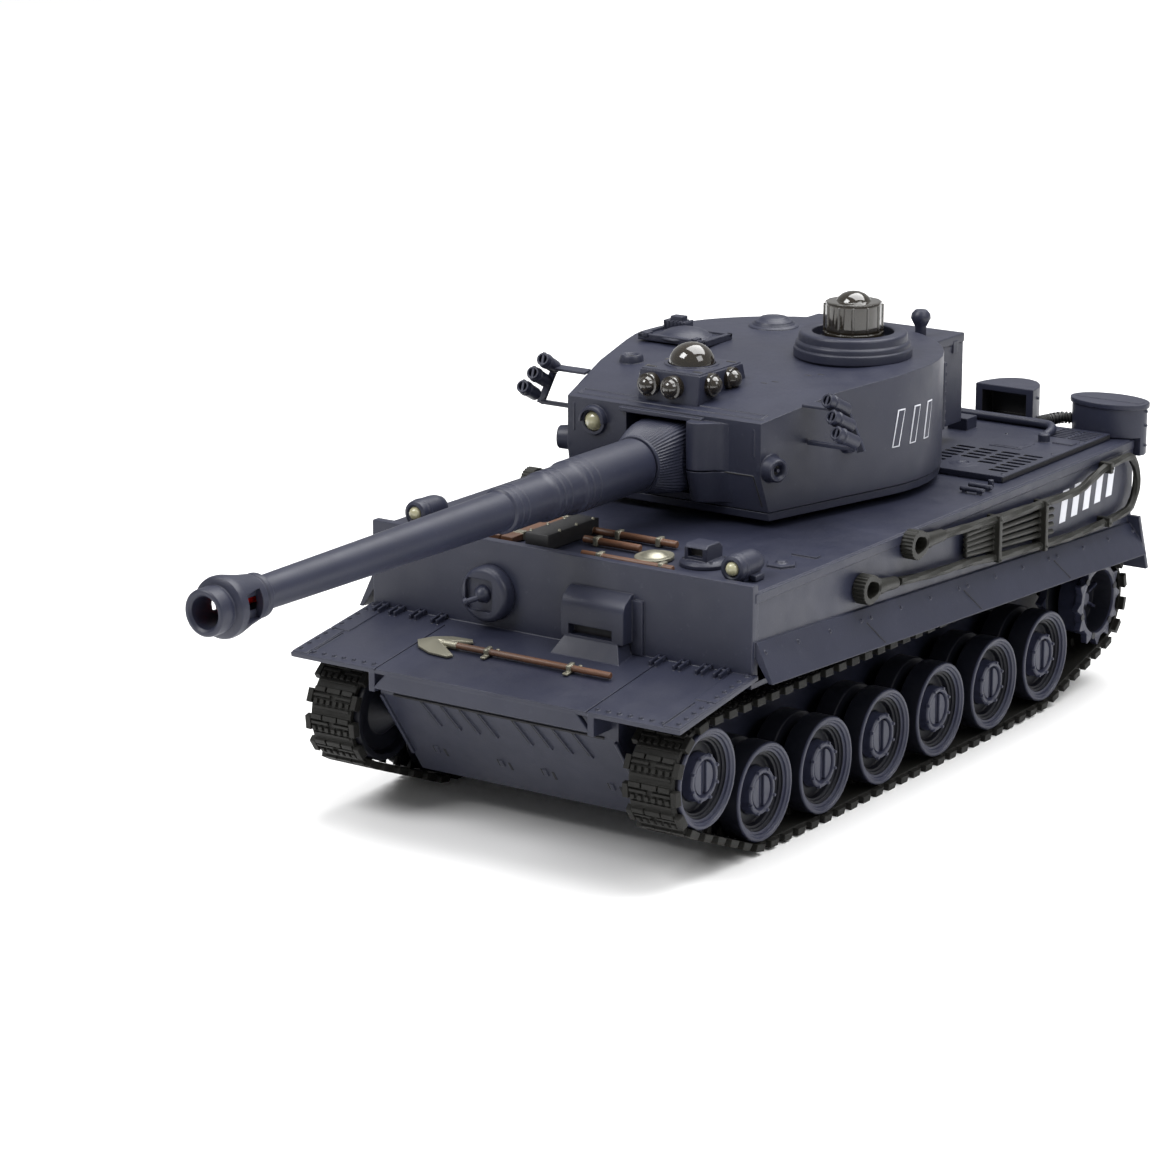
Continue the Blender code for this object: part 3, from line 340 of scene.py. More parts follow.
def surface(name, colour, roughness, mottle=0.10, grain=0.12, grain_scale=2200.0, edge=0.3, speckle=None,
            **shader_values):
    """Moulded or painted finish: uneven tone, fine grain in the relief, edges painted lighter as a painted
    highlight and as rubbed wear.
    """
    material = bpy.data.materials.new(name)
    material.use_nodes = True
    tree = material.node_tree
    shader = tree.nodes["Principled BSDF"]
    for key, value in shader_values.items():
        shader.inputs[key.replace("_", " ")].default_value = value
    link = tree.links.new
    where = tree.nodes.new("ShaderNodeTexCoord").outputs["Object"]

    def noise(scale, detail):
        node = node_in(tree, "ShaderNodeTexNoise", (-900, 0), Scale=scale, Detail=detail, Roughness=0.55)
        link(where, node.inputs["Vector"])
        return node.outputs["Fac"]

    def ranged(value, low, high, new_low, new_high):
        node = tree.nodes.new("ShaderNodeMapRange")
        for key, number in (("From Min", low), ("From Max", high), ("To Min", new_low), ("To Max", new_high)):
            node.inputs[key].default_value = number
        link(value, node.inputs["Value"])
        return node.outputs["Result"]

    def blended(factor, first, second):
        node = tree.nodes.new("ShaderNodeMix")
        node.data_type = "RGBA"
        for key, value in ((6, first), (7, second)):
            if isinstance(value, tuple):
                node.inputs[key].default_value = (*value, 1.0)
            else:
                link(value, node.inputs[key])
        link(factor, node.inputs[0])
        return node.outputs[2]

    dark = tuple(c * (1 - mottle) for c in colour)
    light = tuple(min(1.0, c * (1 + mottle)) for c in colour)
    tone = blended(ranged(noise(45.0, 5.0), 0.3, 0.7, 0.0, 1.0), dark, light)
    if speckle:
        tone = blended(ranged(noise(700.0, 2.0), 0.66, 0.74, 0.0, 0.5), tone, speckle)
    eased = node_in(tree, "ShaderNodeBevel", (-700, -300), Radius=0.00035)
    eased.samples = 4
    # Edges painted lighter where the rounded normal turns away: a painted highlight along the moulded edges,
    # with some rubbed wear.
    if edge:
        rim = tuple(min(1.0, c * 1.9 + 0.02) for c in colour)
        facing = tree.nodes.new("ShaderNodeVectorMath")
        facing.operation = "DOT_PRODUCT"
        link(eased.outputs["Normal"], facing.inputs[0])
        link(tree.nodes.new("ShaderNodeNewGeometry").outputs["Normal"], facing.inputs[1])
        tone = blended(ranged(facing.outputs["Value"], 0.995, 0.85, 0.0, edge), tone, rim)
    link(tone, shader.inputs["Base Color"])
    link(ranged(noise(160.0, 4.0), 0.25, 0.75, roughness - 0.06, roughness + 0.08),
         shader.inputs["Roughness"])
    bump = node_in(tree, "ShaderNodeBump", (-300, -300), Strength=grain, Distance=0.0002)
    link(noise(grain_scale, 3.0), bump.inputs["Height"])
    link(eased.outputs["Normal"], bump.inputs["Normal"])
    link(bump.outputs["Normal"], shader.inputs["Normal"])
    return material


HULL_COLOUR = (0.0165, 0.0185, 0.034)
MADE = {
    "hull": surface("hull_plastic_look", HULL_COLOUR, 0.42, edge=0.2,
                    Specular_IOR_Level=0.36, speckle=(0.030, 0.032, 0.050)),
    "wheel": surface("wheel_plastic_look", (0.019, 0.021, 0.040), 0.40, Specular_IOR_Level=0.36),
    # Tyre dark, also used as painted shade in the wheel dishes, behind the wheels' front faces and in the
    # sprocket's holes.
    "tyre": surface("tyre_and_painted_shade_look", (0.0045, 0.005, 0.009), 0.46, edge=0.3, Specular_IOR_Level=0.26),
    # Near-black painted shade for grooves, gaps, slot backs and recesses.
    "seam": surface("seam_shadow_look", (0.005, 0.005, 0.008), 0.75, edge=0.0),
    "track": surface("track_rubber_look", (0.0048, 0.0046, 0.0035), 0.6, mottle=0.25, grain=0.3,
                     edge=0.18, speckle=(0.014, 0.013, 0.010), Specular_IOR_Level=0.28),
    "olive": surface("olive_plastic_look", (0.0085, 0.0084, 0.0062), 0.5, mottle=0.2, grain=0.2,
                     Specular_IOR_Level=0.35),
    # Black plastic, also used as painted shade inside openings, ports and tube mouths and along parting lines
    # on the turret.
    "black": surface("black_plastic_look", (0.005, 0.005, 0.006), 0.5, edge=0.1),
    "white": surface("white_marking_look", (0.66, 0.67, 0.72), 0.5, mottle=0.08, edge=0.0),
    "wood": surface("brown_paint_look", (0.085, 0.036, 0.017), 0.42, mottle=0.35, grain=0.25,
                    grain_scale=900.0, speckle=(0.04, 0.02, 0.012)),
    "silver": surface("silver_paint_look", (0.24, 0.23, 0.18), 0.36, mottle=0.3, Metallic=0.7,
                      speckle=(0.10, 0.10, 0.09)),
    "smoked": surface("smoked_clear_look", (0.022, 0.017, 0.010), 0.08, grain=0.02, edge=0.15,
                      Transmission_Weight=0.35, Coat_Weight=0.8, Coat_Roughness=0.04),
    "lamp": surface("lamp_clear_look", (0.40, 0.38, 0.24), 0.12, mottle=0.2, grain=0.6, grain_scale=900.0,
                    edge=0.0, Transmission_Weight=0.25, Coat_Weight=0.6),
    "red": surface("red_clear_look", (0.50, 0.008, 0.006), 0.14, mottle=0.15, grain=0.1, edge=0.0,
                   Transmission_Weight=0.2, Coat_Weight=0.8),
    "steel": surface("motor_steel_look", (0.50, 0.50, 0.52), 0.34, Metallic=1.0),
    "nylon": surface("gear_nylon_look", (0.78, 0.77, 0.72), 0.45, mottle=0.05),
    "wrap": surface("battery_wrap_look", (0.05, 0.20, 0.45), 0.35),
    "board": surface("board_green_look", (0.02, 0.14, 0.05), 0.45, grain=0.3, grain_scale=1200.0,
                     speckle=(0.25, 0.2, 0.08)),
}
SLOT_LOOKS = {"hull_plastic": "hull", "wheel_plastic": "wheel", "track_rubber": "track",
              "olive_plastic": "olive", "smoked_clear": "smoked", "lamp_clear": "lamp", "red_clear": "red",
              "tool_paint": "wood", "motor_steel": "steel", "gear_nylon": "nylon", "battery_wrap": "wrap",
              "board_green": "board", "black_plastic": "black"}


def dress_frame():
    """Give every CAD node a full material in place of its flat one."""
    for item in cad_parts.values():
        for place in item.material_slots:
            name = place.material.name.split(".")[0] if place.material else ""
            place.material = MADE[SLOT_LOOKS.get(name, "hull")]


# ---------------------------------------------------------------- hull

def side_line(front_value, rear_value, y):
    """Height of a line along the hull's side that slopes evenly from front to rear."""
    share = (y - HULL_FRONT) / (HULL_REAR - HULL_FRONT)
    return front_value + (rear_value - front_value) * share


def junction(y):
    return side_line(JUNCTION_FRONT, JUNCTION_REAR, y)


def skirt_place(y, share):
    """Point on the left skirt: share 0 is its upper edge and 1 its lower edge."""
    top = Vector((HULL_HALF + SKIRT_LEDGE, y, junction(y) - 0.1))
    low = Vector((SKIRT_HALF, y, side_line(SKIRT_FRONT, SKIRT_REAR, y)))
    return top.lerp(low, share)


SKIRT_OUT = Vector((0.90, 0.0, 0.44)).normalized()


def hull_channel():
    """Roof, side walls and skirts as one bent sheet."""
    tool = bmesh.new()
    rings = []
    for y in (HULL_FRONT, HULL_REAR):
        edge, skirt = junction(y), side_line(SKIRT_FRONT, SKIRT_REAR, y)
        ledge = HULL_HALF + SKIRT_LEDGE
        half = [(SKIRT_HALF, skirt), (ledge, edge - 0.1), (HULL_HALF, edge + 0.1), (HULL_HALF, ROOF - 0.6),
                (HULL_HALF - 0.2, ROOF - 0.2), (HULL_HALF - 0.6, ROOF)]
        inner = [(HULL_HALF - WALL, ROOF - WALL), (HULL_HALF - WALL, edge - 0.9), (SKIRT_HALF - 1.1, skirt)]
        section = half + [(-x, z) for x, z in reversed(half)]
        section += [(-x, z) for x, z in reversed(inner)] + inner
        rings.append([tool.verts.new(point(x, y, z)) for x, z in section])
    bridged(tool, rings)
    hole = turned([(0, 75), (28.0, 75), (28.0, 60), (0, 60)], at(TURRET_X, TURRET_Y, 0), 48)
    return carved(tool, hole)


FENDER_TILT = atan((FENDER_REAR_Z - FENDER_FRONT_Z) / (HULL_FRONT + 0.5 - FENDER_FRONT))
FENDER = at(0, FENDER_FRONT, FENDER_FRONT_Z) @ Matrix.Rotation(FENDER_TILT, 4, "X")
FENDER_SEAM, RIB_SHIFT = 31.0, -1.5


def fender_parts():
    """Sloping front fender with its outer flaps, seams, hinges and rivets."""
    plate = box((-FENDER_HALF, FENDER_HALF), (0, FENDER_LENGTH), (-FENDER_THICK, 0), 0.3)
    seams = [box((side * FENDER_SEAM - 0.2, side * FENDER_SEAM + 0.2), (-1, 29.0), (-0.5, 1), 0)
             for side in (-1, 1)]
    parts = [carved(plate, *seams)]
    for side in (-1, 1):
        parts.append(box((side * 52.4, side * 56.7), (0.5, 15.5), (-0.2, 0.3), 0.12))
        parts.append(box((side * 51.0, side * 56.7), (15.9, 32.5), (-0.2, 0.3), 0.12))
        parts.append(box((side * 51.6, side * 51.9), (0.8, 14.5), (-0.2, 0.4), 0.08))
        parts += [stud((side * 55.3, 2.3 + 3.25 * k, 0.3), (0, 0, 1), 0.78, 0.5) for k in range(10)]
        parts += [stud((side * (32.8 + 3.05 * k), 2.1, 0.0), (0, 0, 1), 0.78, 0.5) for k in range(7)]
        for offset in (32.4, 39.1, 45.5, 50.5):
            middle = RIB_SHIFT + side * offset
            parts += [box((middle + shift - 0.32, middle + shift + 0.32), (28.2, 32.6), (-0.3, 1.25), 0.15)
                      for shift in (-0.8, 0.8)]
            parts.append(rod((middle - 1.3, 31.8, 0.55), (middle + 1.3, 31.8, 0.55), 0.55, 8))
    return [moved(part, FENDER) for part in parts]


def lip_parts():
    """Hanging front lip between two side plates, open at its upper corners."""
    outline = [(-32.0, 37.0), (32.0, 37.0), (27.6, 41.6), (-27.6, 41.6)]
    parts = [slab(outline, FENDER_FRONT + 0.1, FENDER_FRONT + 1.7, "Y", 0.3)]
    for side in (-1, 1):
        parts.append(box((side * 31.2, side * 33.0), (FENDER_FRONT + 0.1, -57.5), (36.2, 42.0), 0.25))
    return parts


def visor_parts():
    """Hooded driver's slot on the front plate."""
    side_view = [(-33.4, 61.8), (-34.6, 61.8), (-37.6, 59.8), (-38.4, 57.6), (-38.4, 50.0), (-33.4, 50.0)]
    hood = slab(side_view, 4.4, 22.6, "X", 0.35)
    slot = box((6.7, 19.3), (-39.4, -35.4), (50.6, 53.2), 0)
    # Dark sheet at the back of the slot: painted shade.
    floor = painted(box((6.7, 19.3), (-35.9, -35.5), (50.4, 53.4), 0), 2)
    ramp = bmesh.new()
    back = -33.4
    bridged(ramp, [[ramp.verts.new(point(x, y, z)) for x, y in
                    ((left, front), (right, front), (right, back), (left, back))]
                   for left, right, front, z in ((5.6, 20.8, -38.2, 50.4), (2.6, 23.6, -41.6, 45.0))])
    softened(ramp, ramp.edges[:], 0.2)
    cheek = box((22.2, 25.6), (-34.6, -33.4), (47.0, 60.6), 0.3)
    return [carved(hood, slot), floor, ramp, cheek]


def skirt_parts():
    """Bolts and panel seams of the left skirt; each panel seam is a thin dark tube of painted shade."""
    parts = []
    panel = 48.4
    for index in range(4):
        bolts = [17.8 + panel * (index - 1) + offset for offset in (0.0, 14.6, 29.2, 43.8)]
        parts += [stud(skirt_place(y, 0.25), SKIRT_OUT, 0.62, 0.4) for y in bolts
                  if HULL_FRONT + 1 < y < HULL_REAR - 1]
        seam = 15.2 + panel * index
        if seam < HULL_REAR - 6:
            ends = [skirt_place(seam, 0.34), skirt_place(seam + 4.6, 0.93)]
            parts.append(painted(tube(ends, 0.17, 6), 2))
    strip = box((HULL_HALF - 0.2, HULL_HALF + 0.3), (HULL_FRONT + 0.3, HULL_REAR), (64.4, 66.6), 0.15)
    return parts + [strip]


def marking_parts():
    """Plain slanted bars painted on the left wall."""
    parts = []
    for k in range(5):
        y, z = 118.5 + 6.6 * k, 51.9 + 0.45 * k
        outline = [(y, z), (y + 3.4, z), (y + 5.2, z + 8.6), (y + 1.8, z + 8.6)]
        parts.append(painted(slab(outline, HULL_HALF - 0.1, HULL_HALF + 0.07, "X", 0), 1))
    return parts


def roof_parts():
    """Small mouldings on the hull's roof."""
    parts = []
    for side in (-1, 1):
        hexagon = arc(side * 47.6, -7.6, 3.9, 0, 300, 6)
        parts.append(slab(hexagon, ROOF - 0.2, ROOF + 0.7, "Z", 0.2))
        parts.append(turned([(0, 1.5), (1.1, 1.3), (1.7, 0.6), (1.7, 0), (0, 0)], at(side * 47.6, -7.6, ROOF),
                            16))
        for y in (81.0, 85.5):
            parts.append(rod((side * 46.8, y, ROOF + 1.1), (side * 53.6, y, ROOF + 1.1), 0.65, 10))
            parts += [box((side * (x - 0.5), side * (x + 0.5)), (y - 0.6, y + 0.6), (ROOF - 0.2, ROOF + 1.2),
                          0.1)
                      for x in (48.0, 52.4)]
        parts.append(box((side * 44.5, side * 51.5), (2.0, 4.4), (ROOF - 0.2, ROOF + 0.5), 0.15))
        parts.append(rod((side * 50.5, 90.5, ROOF), (side * 50.5, 90.5, ROOF + 1.8), 0.8, 8))
    parts.append(turned([(0, 0.8), (7.4, 0.8), (7.9, 0.3), (7.9, 0), (0, 0)], at(-31.5, -15.5, ROOF - 0.1),
                        32))
    parts.append(turned([(0, 1.6), (3.2, 1.4), (4.4, 0.7), (4.4, 0), (0, 0)], at(-31.5, -15.5, ROOF + 0.4),
                        24))
    return parts


def make_upper_hull():
    parts = [hull_channel(),
             box((-HULL_HALF - 0.1, HULL_HALF + 0.1), (PLATE_FRONT, -31.2), (46.2, PLATE_TOP), 0.4),
             box((-55.5, 55.5), (158.6, 160.9), (43.8, 66.6), 0.3)]
    parts += fender_parts() + lip_parts() + visor_parts() + roof_parts()
    for side in (1, -1):
        flap = [slab([(159.4, 46.0), (165.3, 30.0), (163.9, 30.0), (158.0, 46.0)], 38.0, 59.7, "X", 0.25)]
        flap += [stud((40.4 + 4.2 * k, 160.9, 43.2), (0, 1, 0.35), 0.6, 0.5) for k in range(5)]
        parts += [sided(part, side) for part in flap + skirt_parts() + marking_parts()]
    for z in (50.0, 58.0):
        parts.append(box((-30.0, 30.0), (160.6, 161.3), (z, z + 1.2), 0.2))
    show("hull_upper_shell", "hull", ["upper_hull"], parts, ["hull", "white", "seam"])


def nose_frame():
    """Frame on the sloping nose plate: X across, Y down the slope, Z out of it."""
    down = Vector((0, NOSE_FOOT_Y - NOSE_TOP_Y, TUB_BOTTOM - NOSE_Z)).normalized()
    across = Vector((-1, 0, 0))
    out = across.cross(down)
    turn = Matrix((across, down, out)).transposed().to_4x4()
    return at(0, NOSE_TOP_Y, NOSE_Z) @ turn


def make_lower_hull():
    parts = [node_shape("lower_hull")]
    nose = nose_frame()
    # Dark strips beside the raised ribs on the nose, a dark line under the lip and dark slots by the small
    # blocks: painted shade in grooves and gaps.
    for x in (-22.5, -16.6, -11.0, -5.6, 4.7, 10.4, 16.3, 22.2):
        slanted = [(-x, 0.2), (-x + 0.9, 0.2), (-x - 1.2, 8.3), (-x - 2.1, 8.3)]
        parts.append(moved(painted(slab(slanted, -0.2, 0.08, "Z", 0), 1), nose))
        edge = [(-x - 0.05, 0.2), (-x - 0.5, 0.2), (-x - 2.6, 8.5), (-x - 2.1, 8.5)]
        parts.append(moved(slab(edge, -0.2, 0.45, "Z", 0.1), nose))
    parts.append(moved(painted(box((-31.0, 31.0), (-0.5, 0.15), (-0.3, 0.12), 0), 1), nose))
    for x in (-26.0, -6.5, 6.5, 26.0):
        parts.append(moved(box((-x - 0.6, -x + 0.6), (17.8, 20.2), (-0.2, 0.35), 0.1), nose))
        parts.append(moved(painted(box((-x + 0.7, -x + 1.3), (18.0, 20.4), (-0.2, 0.1), 0), 1), nose))
        parts.append(moved(painted(box((-x - 2.6, -x - 1.9), (18.4, 21.2), (-0.2, 0.1), 0), 1), nose))
    for side in (-1, 1):
        parts.append(moved(box((side * 34.0, side * 35.0), (0, 22.0), (-0.3, 0.9), 0.3), nose))
        for k in range(WHEEL_COUNT):
            y = WHEEL_FIRST_Y + WHEEL_PITCH * k
            swing = slab([(y - 3.0, 11.2), (y + 3.0, 11.2), (y + 12.0, 19.0), (y + 9.0, 22.5),
                          (y + 5.5, 22.0)],
                         side * 34.9, side * 36.4, "X", 0.3)
            parts.append(carved(swing, rod((side * 30, y, wheel_height(k)), (side * 40, y, wheel_height(k)),
                                           1.8)))
        parts.append(box((side * 34.8, side * 35.5), (-40.0, 150.0), (36.0, 37.0), 0.2))
    for x, y in ((-12, 8), (12, 8), (-12, 120), (12, 120), (-26, 60), (26, 60)):
        parts.append(turned([(0, 0.6), (1.6, 0.6), (2.0, 0), (0, 0)],
                            at(x, y, TUB_BOTTOM + 0.1) @ Matrix.Rotation(pi, 4, "X"), 16))
    show("hull_lower_tub", "hull", ["lower_hull"], parts, ["hull", "seam"])


def make_deck():
    plate = box((-DECK_HALF, DECK_HALF), (DECK_FRONT, DECK_REAR), (ROOF + 0.1, DECK_TOP), 0.3)
    cutters = []
    for side in (-1, 1):
        for column in (26.6, 33.4, 40.2, 47.0):
            for row in range(7):
                y = 100.6 + 3.2 * row
                if hypot(column - 35.5, y - 103.0) > 5.6:
                    cutters.append(slab(slot_outline(side * column, y, 2.9, 0.85), DECK_TOP - 1.2,
                                        DECK_TOP + 1, "Z", 0))
        for row in range(6):
            cutters += [box((side * x - 2.9, side * x + 2.9), (143.2 + 1.8 * row, 144.2 + 1.8 * row),
                            (DECK_TOP - 1.0, DECK_TOP + 1), 0) for x in (41.2, 47.6)]
    parts = [carved(plate, joined(cutters))]
    # Sides and floors of the deck's recesses in the dark material: painted shade.
    for face in parts[0].faces:
        height = face.calc_center_median().z / MM
        recess_side = ROOF + 0.3 < height < DECK_TOP - 0.3 and abs(face.normal.y) < 0.99
        recess_floor = ROOF + 0.5 < height < DECK_TOP - 0.5 and abs(face.normal.z) > 0.9
        if recess_side or recess_floor:
            face.material_index = 1
    for side in (-1, 1):
        parts.append(turned([(0, 0.1), (1.2, 0.1), (1.4, 0.32), (2.2, 0.32), (2.4, 0.2), (3.6, 0.2), (4.0, 0),
                             (0, 0)],
                            at(side * 35.5, 103.0, DECK_TOP - 0.05), 28))
        parts.append(box((side * 31.0, side * 40.6), (124.6, 132.6), (DECK_TOP - 0.2, DECK_TOP + 0.2), 0.1))
        parts.append(box((side * 32.0, side * 39.6), (125.6, 131.6), (DECK_TOP + 0.1, DECK_TOP + 0.3), 0.08))
        parts.append(turned([(0, 2.4), (1.2, 2.4), (1.6, 2.0), (1.6, 0), (0, 0)],
                            at(side * 41.0, 137.0, DECK_TOP - 0.1), 16))
        parts.append(box((side * 44.0, side * 50.0), (136.0, 139.0), (DECK_TOP - 0.2, DECK_TOP + 0.4), 0.15))
        parts.append(box((side * 11.6, side * 17.8), (136.0, 141.6), (DECK_TOP - 0.2, DECK_TOP + 3.4), 0.4))
        pipe = smooth_route([(side * 3.0, 150.5, DECK_TOP + 1.3), (side * 20.0, 150.5, DECK_TOP + 1.3),
                             (side * 33.0, 150.4, DECK_TOP + 1.3), (side * 36.4, 149.4, DECK_TOP + 1.2),
                             (side * 38.4, 146.0, DECK_TOP + 0.9), (side * 38.6, 142.0, DECK_TOP + 0.2)], 1.2)
        parts.append(tube(pipe, 1.25, 16))
        parts += [stud((side * x, y, DECK_TOP), (0, 0, 1), 0.6, 0.3) for x, y in
                  ((22.8, 97.5), (50.0, 97.5), (50.0, 125.0), (28.5, 139.0), (50.0, 141.2))]
    parts += [box((-9.0 + 3.2 * k, -7.4 + 3.2 * k), (129.5, 146.0), (DECK_TOP - 0.2, DECK_TOP + 0.3), 0.12)
              for k in range(6)]
    show("engine_deck_plate", "hull", ["engine_deck"], parts, ["hull", "seam"])


def slot_outline(x, y, half, radius):
    """Long hole with round ends, lying across the deck."""
    return arc(x + half - radius, y, radius, -90, 90, 5) + arc(x - half + radius, y, radius, 90, 270, 5)


# ---------------------------------------------------------------- hull fittings

def make_headlight(label, side):
    x, front = side * 46.8, -28.7
    parts = [turned([(0, 12.0), (1.6, 11.7), (2.5, 10.8), (3.1, 9.2), (3.3, 7.5), (3.3, 0.9), (3.1, 0.3),
                     (2.4, 0.0), (1.9, 0.3), (1.8, 1.2), (0, 1.2)], at(x, front, ROOF + 3.5) @ TO_REAR, 32),
             turned([(3.45, 3.2), (3.45, 2.2), (3.2, 2.0), (3.2, 3.4)], at(x, front, ROOF + 3.5) @ TO_REAR,
                    32, True),
             box((x - 2.2, x + 2.2), (-26.4, -19.0), (ROOF + 0.1, ROOF + 2.6), 0.3),
             box((x + side * 2.4, x + side * 4.2), (-24.4, -20.4), (ROOF + 0.1, ROOF + 1.6), 0.3)]
    show(f"headlight_housing_{label}", "hull", [f"headlight_{label}"], parts, ["hull"])
    glass = turned([(0, 0.9), (0.8, 0.8), (1.4, 0.4), (1.75, -0.2), (1.75, -1.1), (0, -1.1)],
                   at(x, front + 0.1, ROOF + 3.5) @ TO_FRONT, 24)
    show(f"headlight_glass_{label}", "hull", [], glass, ["lamp"])


def rear_edge(x):
    """The room the hull's rear edge takes up."""
    return box((x - 22, x + 22), (150, 161.2), (60, ROOF + 0.3), 0)


def make_exhaust(label, side):
    x, low, top = side * 17.4, 65.6, 77.4
    cover = slab(oval((x, 157.4), 9.0, 12.4, 25, 180.0), low, top, "Z", 0.35)
    mouth = box((x - 6.9, x + 6.9), (150, 163.4), (ROOF + 1.6, top - 1.7), 0)
    parts = [carved(cover, mouth, rear_edge(x))]
    # Faces inside the cover's mouth in the dark material: painted shade.
    for face in parts[0].faces:
        centre = face.calc_center_median() / MM
        if abs(centre.x - x) < 7.2 and 158.0 < centre.y < 163.6 and ROOF + 1.5 < centre.z < top - 1.6:
            face.material_index = 1
    parts += [stud((x + end * 8.7, 160.6, z), (end, 0.3, 0), 0.6, 0.5) for end in (side, -side)
              for z in (69.0, 74.5)]
    show(f"exhaust_shield_{label}", "hull", [f"exhaust_cover_{label}"], parts,
         ["hull", "black"])


def make_air_cleaner(label, side):
    x, y = side * 47.2, 163.0
    can = slab(oval((x, y), 11.0, 6.7, 40, 351.0), 62.2, 75.6, "Z", 0.3)
    lid = slab(oval((x, y), 11.6, 7.2, 40, 351.0), 75.2, 76.6, "Z", 0.3)
    plate = slab([(u, v) for u, v in oval((x, y), 10.2, 5.9, 40, 351.0) if v > y - 2.4], 76.4, 76.8, "Z",
                 0.15)
    parts = [carved(can, rear_edge(x)), lid, plate]
    parts += [stud((x + side * 11.0, y, z), (side, 0, 0), 0.6, 0.5) for z in (65.0, 70.5, 74.4)]
    parts += [stud((x + side * u, y + 6.4, z), (0, 1, 0), 0.6, 0.5) for u in (-5.0, 0.0, 5.0)
              for z in (65.0, 72.0)]
    show(f"air_cleaner_can_{label}", "hull", [f"air_cleaner_{label}"], parts, ["hull"])
    route = smooth_route([(side * 37.0, 162.0, 70.0), (side * 34.0, 160.0, 70.2), (side * 31.6, 156.6, 69.8),
                          (side * 31.4, 153.4, DECK_TOP + 1.2), (side * 32.0, 151.0, DECK_TOP + 1.2)], 0.5)
    hose = [tube(route, 1.35, 14)]
    hose += [tube([route[k], route[k + 1]], 1.7, 14) for k in range(2, len(route) - 2, 2)]
    show(f"air_hose_{label}", "hull", [], hose, ["black"])


def make_bow_gun():
    place = at(-19.4, PLATE_FRONT, 55.8) @ TO_FRONT
    boss = turned([(0, 3.9), (5.6, 3.9), (6.5, 3.5), (7.0, 2.6), (7.1, 0.2), (0, 0.2)], place, 48)
    square = rounded_square(4.1, 1.4)
    recess = slab([(x - 1.1, z) for x, z in square], 2.7, 5.0, "Z", 0)
    parts = [carved(boss, moved(recess, place))]
    parts.append(turned([(0, 2.4), (1.1, 2.1), (2.0, 1.2), (2.3, 0), (2.3, -0.4), (0, -0.4)],
                        place @ at(-0.4, 0.2, 2.8), 24))
    parts.append(rod((-20.0, PLATE_FRONT - 4.4, 55.4), (-22.6, PLATE_FRONT - 6.4, 54.3), 0.75, 12))
    parts.append(rod((-22.2, PLATE_FRONT - 6.1, 54.5), (-23.0, PLATE_FRONT - 6.7, 54.1), 1.0, 12))
    show("bow_gun_mount", "hull", ["bow_gun"], parts, ["hull"])


def rounded_square(half, radius):
    middle, points = half - radius, []
    for k, (sx, sy) in enumerate(((1, 1), (-1, 1), (-1, -1), (1, -1))):
        points += arc(sx * middle, sy * middle, radius, 90 * k, 90 * k + 90, 5)
    return points


def shovel_blade():
    """Pointed blade with a raised spine and rolled shoulders."""
    rim = [(-30.8, 0.0), (-28.4, -3.0), (-23.8, -5.0), (-18.0, -5.4), (-17.0, -4.2), (-21.2, -1.3),
           (-21.2, 1.3), (-17.0, 4.2), (-18.0, 5.4), (-23.8, 5.0), (-28.4, 3.0)]
    tool = bmesh.new()
    low, high = [[tool.verts.new(point(x, y, z)) for x, y in rim] for z in (0.0, 0.55)]
    bridged(tool, [low, high], caps=False)
    spine = tool.verts.new(point(-24.6, 0.0, 1.7))
    for k, vert in enumerate(high):
        tool.faces.new((vert, high[(k + 1) % len(high)], spine))
    tool.faces.new(low[::-1])
    return tool


def make_shovel():
    along = FENDER @ at(0, 17.3, 0.3)
    parts = [moved(painted(shovel_blade(), 1), along)]
    parts.append(moved(rod((-22.4, 0, 0.95), (26.4, 0, 0.95), 0.8, 12), along))
    parts.append(moved(painted(rod((-22.6, 0, 0.95), (-18.6, 0, 0.95), 1.0, 12), 1), along))
    for x in (-9.4, 14.8):
        parts.append(moved(painted(box((x - 0.7, x + 0.7), (-2.6, 2.4), (0, 0.5), 0.1), 1), along))
        parts.append(moved(painted(box((x - 0.6, x + 0.6), (-1.3, 1.3), (0.3, 2.0), 0.3), 1), along))
        parts.append(moved(painted(rod((x + 1.6, 1.8, 0.0), (x + 1.6, 1.8, 1.2), 0.5, 8), 1), along))
    show("fender_shovel", "hull", ["glacis_shovel"], parts, ["wood", "silver"])


def make_roof_tools():
    base = ROOF + 0.2
    parts = [box((x, x + 3.6), (-28.4, 0.0), (base, ROOF + 1.9), 0.3) for x in (-24.6, -20.5)]
    parts += [painted(box((-25.0, -16.6), (y, y + 1.5), (base, ROOF + 2.4), 0.2), 1) for y in (-24.0, -5.0)]
    parts.append(painted(box((-12.5, -5.5), (-29.4, -7.5), (base, ROOF + 4.2), 0.4), 2))
    parts += [painted(stud((-12.0 + 6.0 * (k % 2), -27.5 + 3.6 * k, ROOF + 4.2), (0, 0, 1), 0.5, 0.4), 1)
              for k in range(6)]
    parts.append(rod((-6.6, -9.6, ROOF + 1.3), (19.0, -9.6, ROOF + 1.3), 0.95, 12))
    parts.append(rod((-3.0, -17.6, ROOF + 1.3), (13.6, -17.6, ROOF + 1.3), 0.95, 12))
    parts.append(rod((4.6, -29.6, ROOF + 1.4), (31.0, -29.6, ROOF + 1.4), 0.85, 12))
    blade = slab(oval((19.6, -20.6), 4.6, 5.6, 24, 345.0), base, ROOF + 1.2, "Z", 0.4)
    parts.append(painted(blade, 1))
    parts.append(painted(turned([(0, 1.4), (2.2, 1.0), (3.4, 0.2), (3.4, 0), (0, 0)],
                                at(19.6, -20.6, ROOF + 1.0), 20), 1))
    for x, y in ((2.0, -9.6), (14.0, -9.6), (1.0, -17.6), (27.6, -29.0), (10.0, -29.6)):
        parts.append(painted(box((x - 0.6, x + 0.6), (y - 1.4, y + 1.4), (base, ROOF + 2.5), 0.3), 1))
    show("roof_tool_set", "hull", ["roof_tools"], parts, ["wood", "silver", "black"])


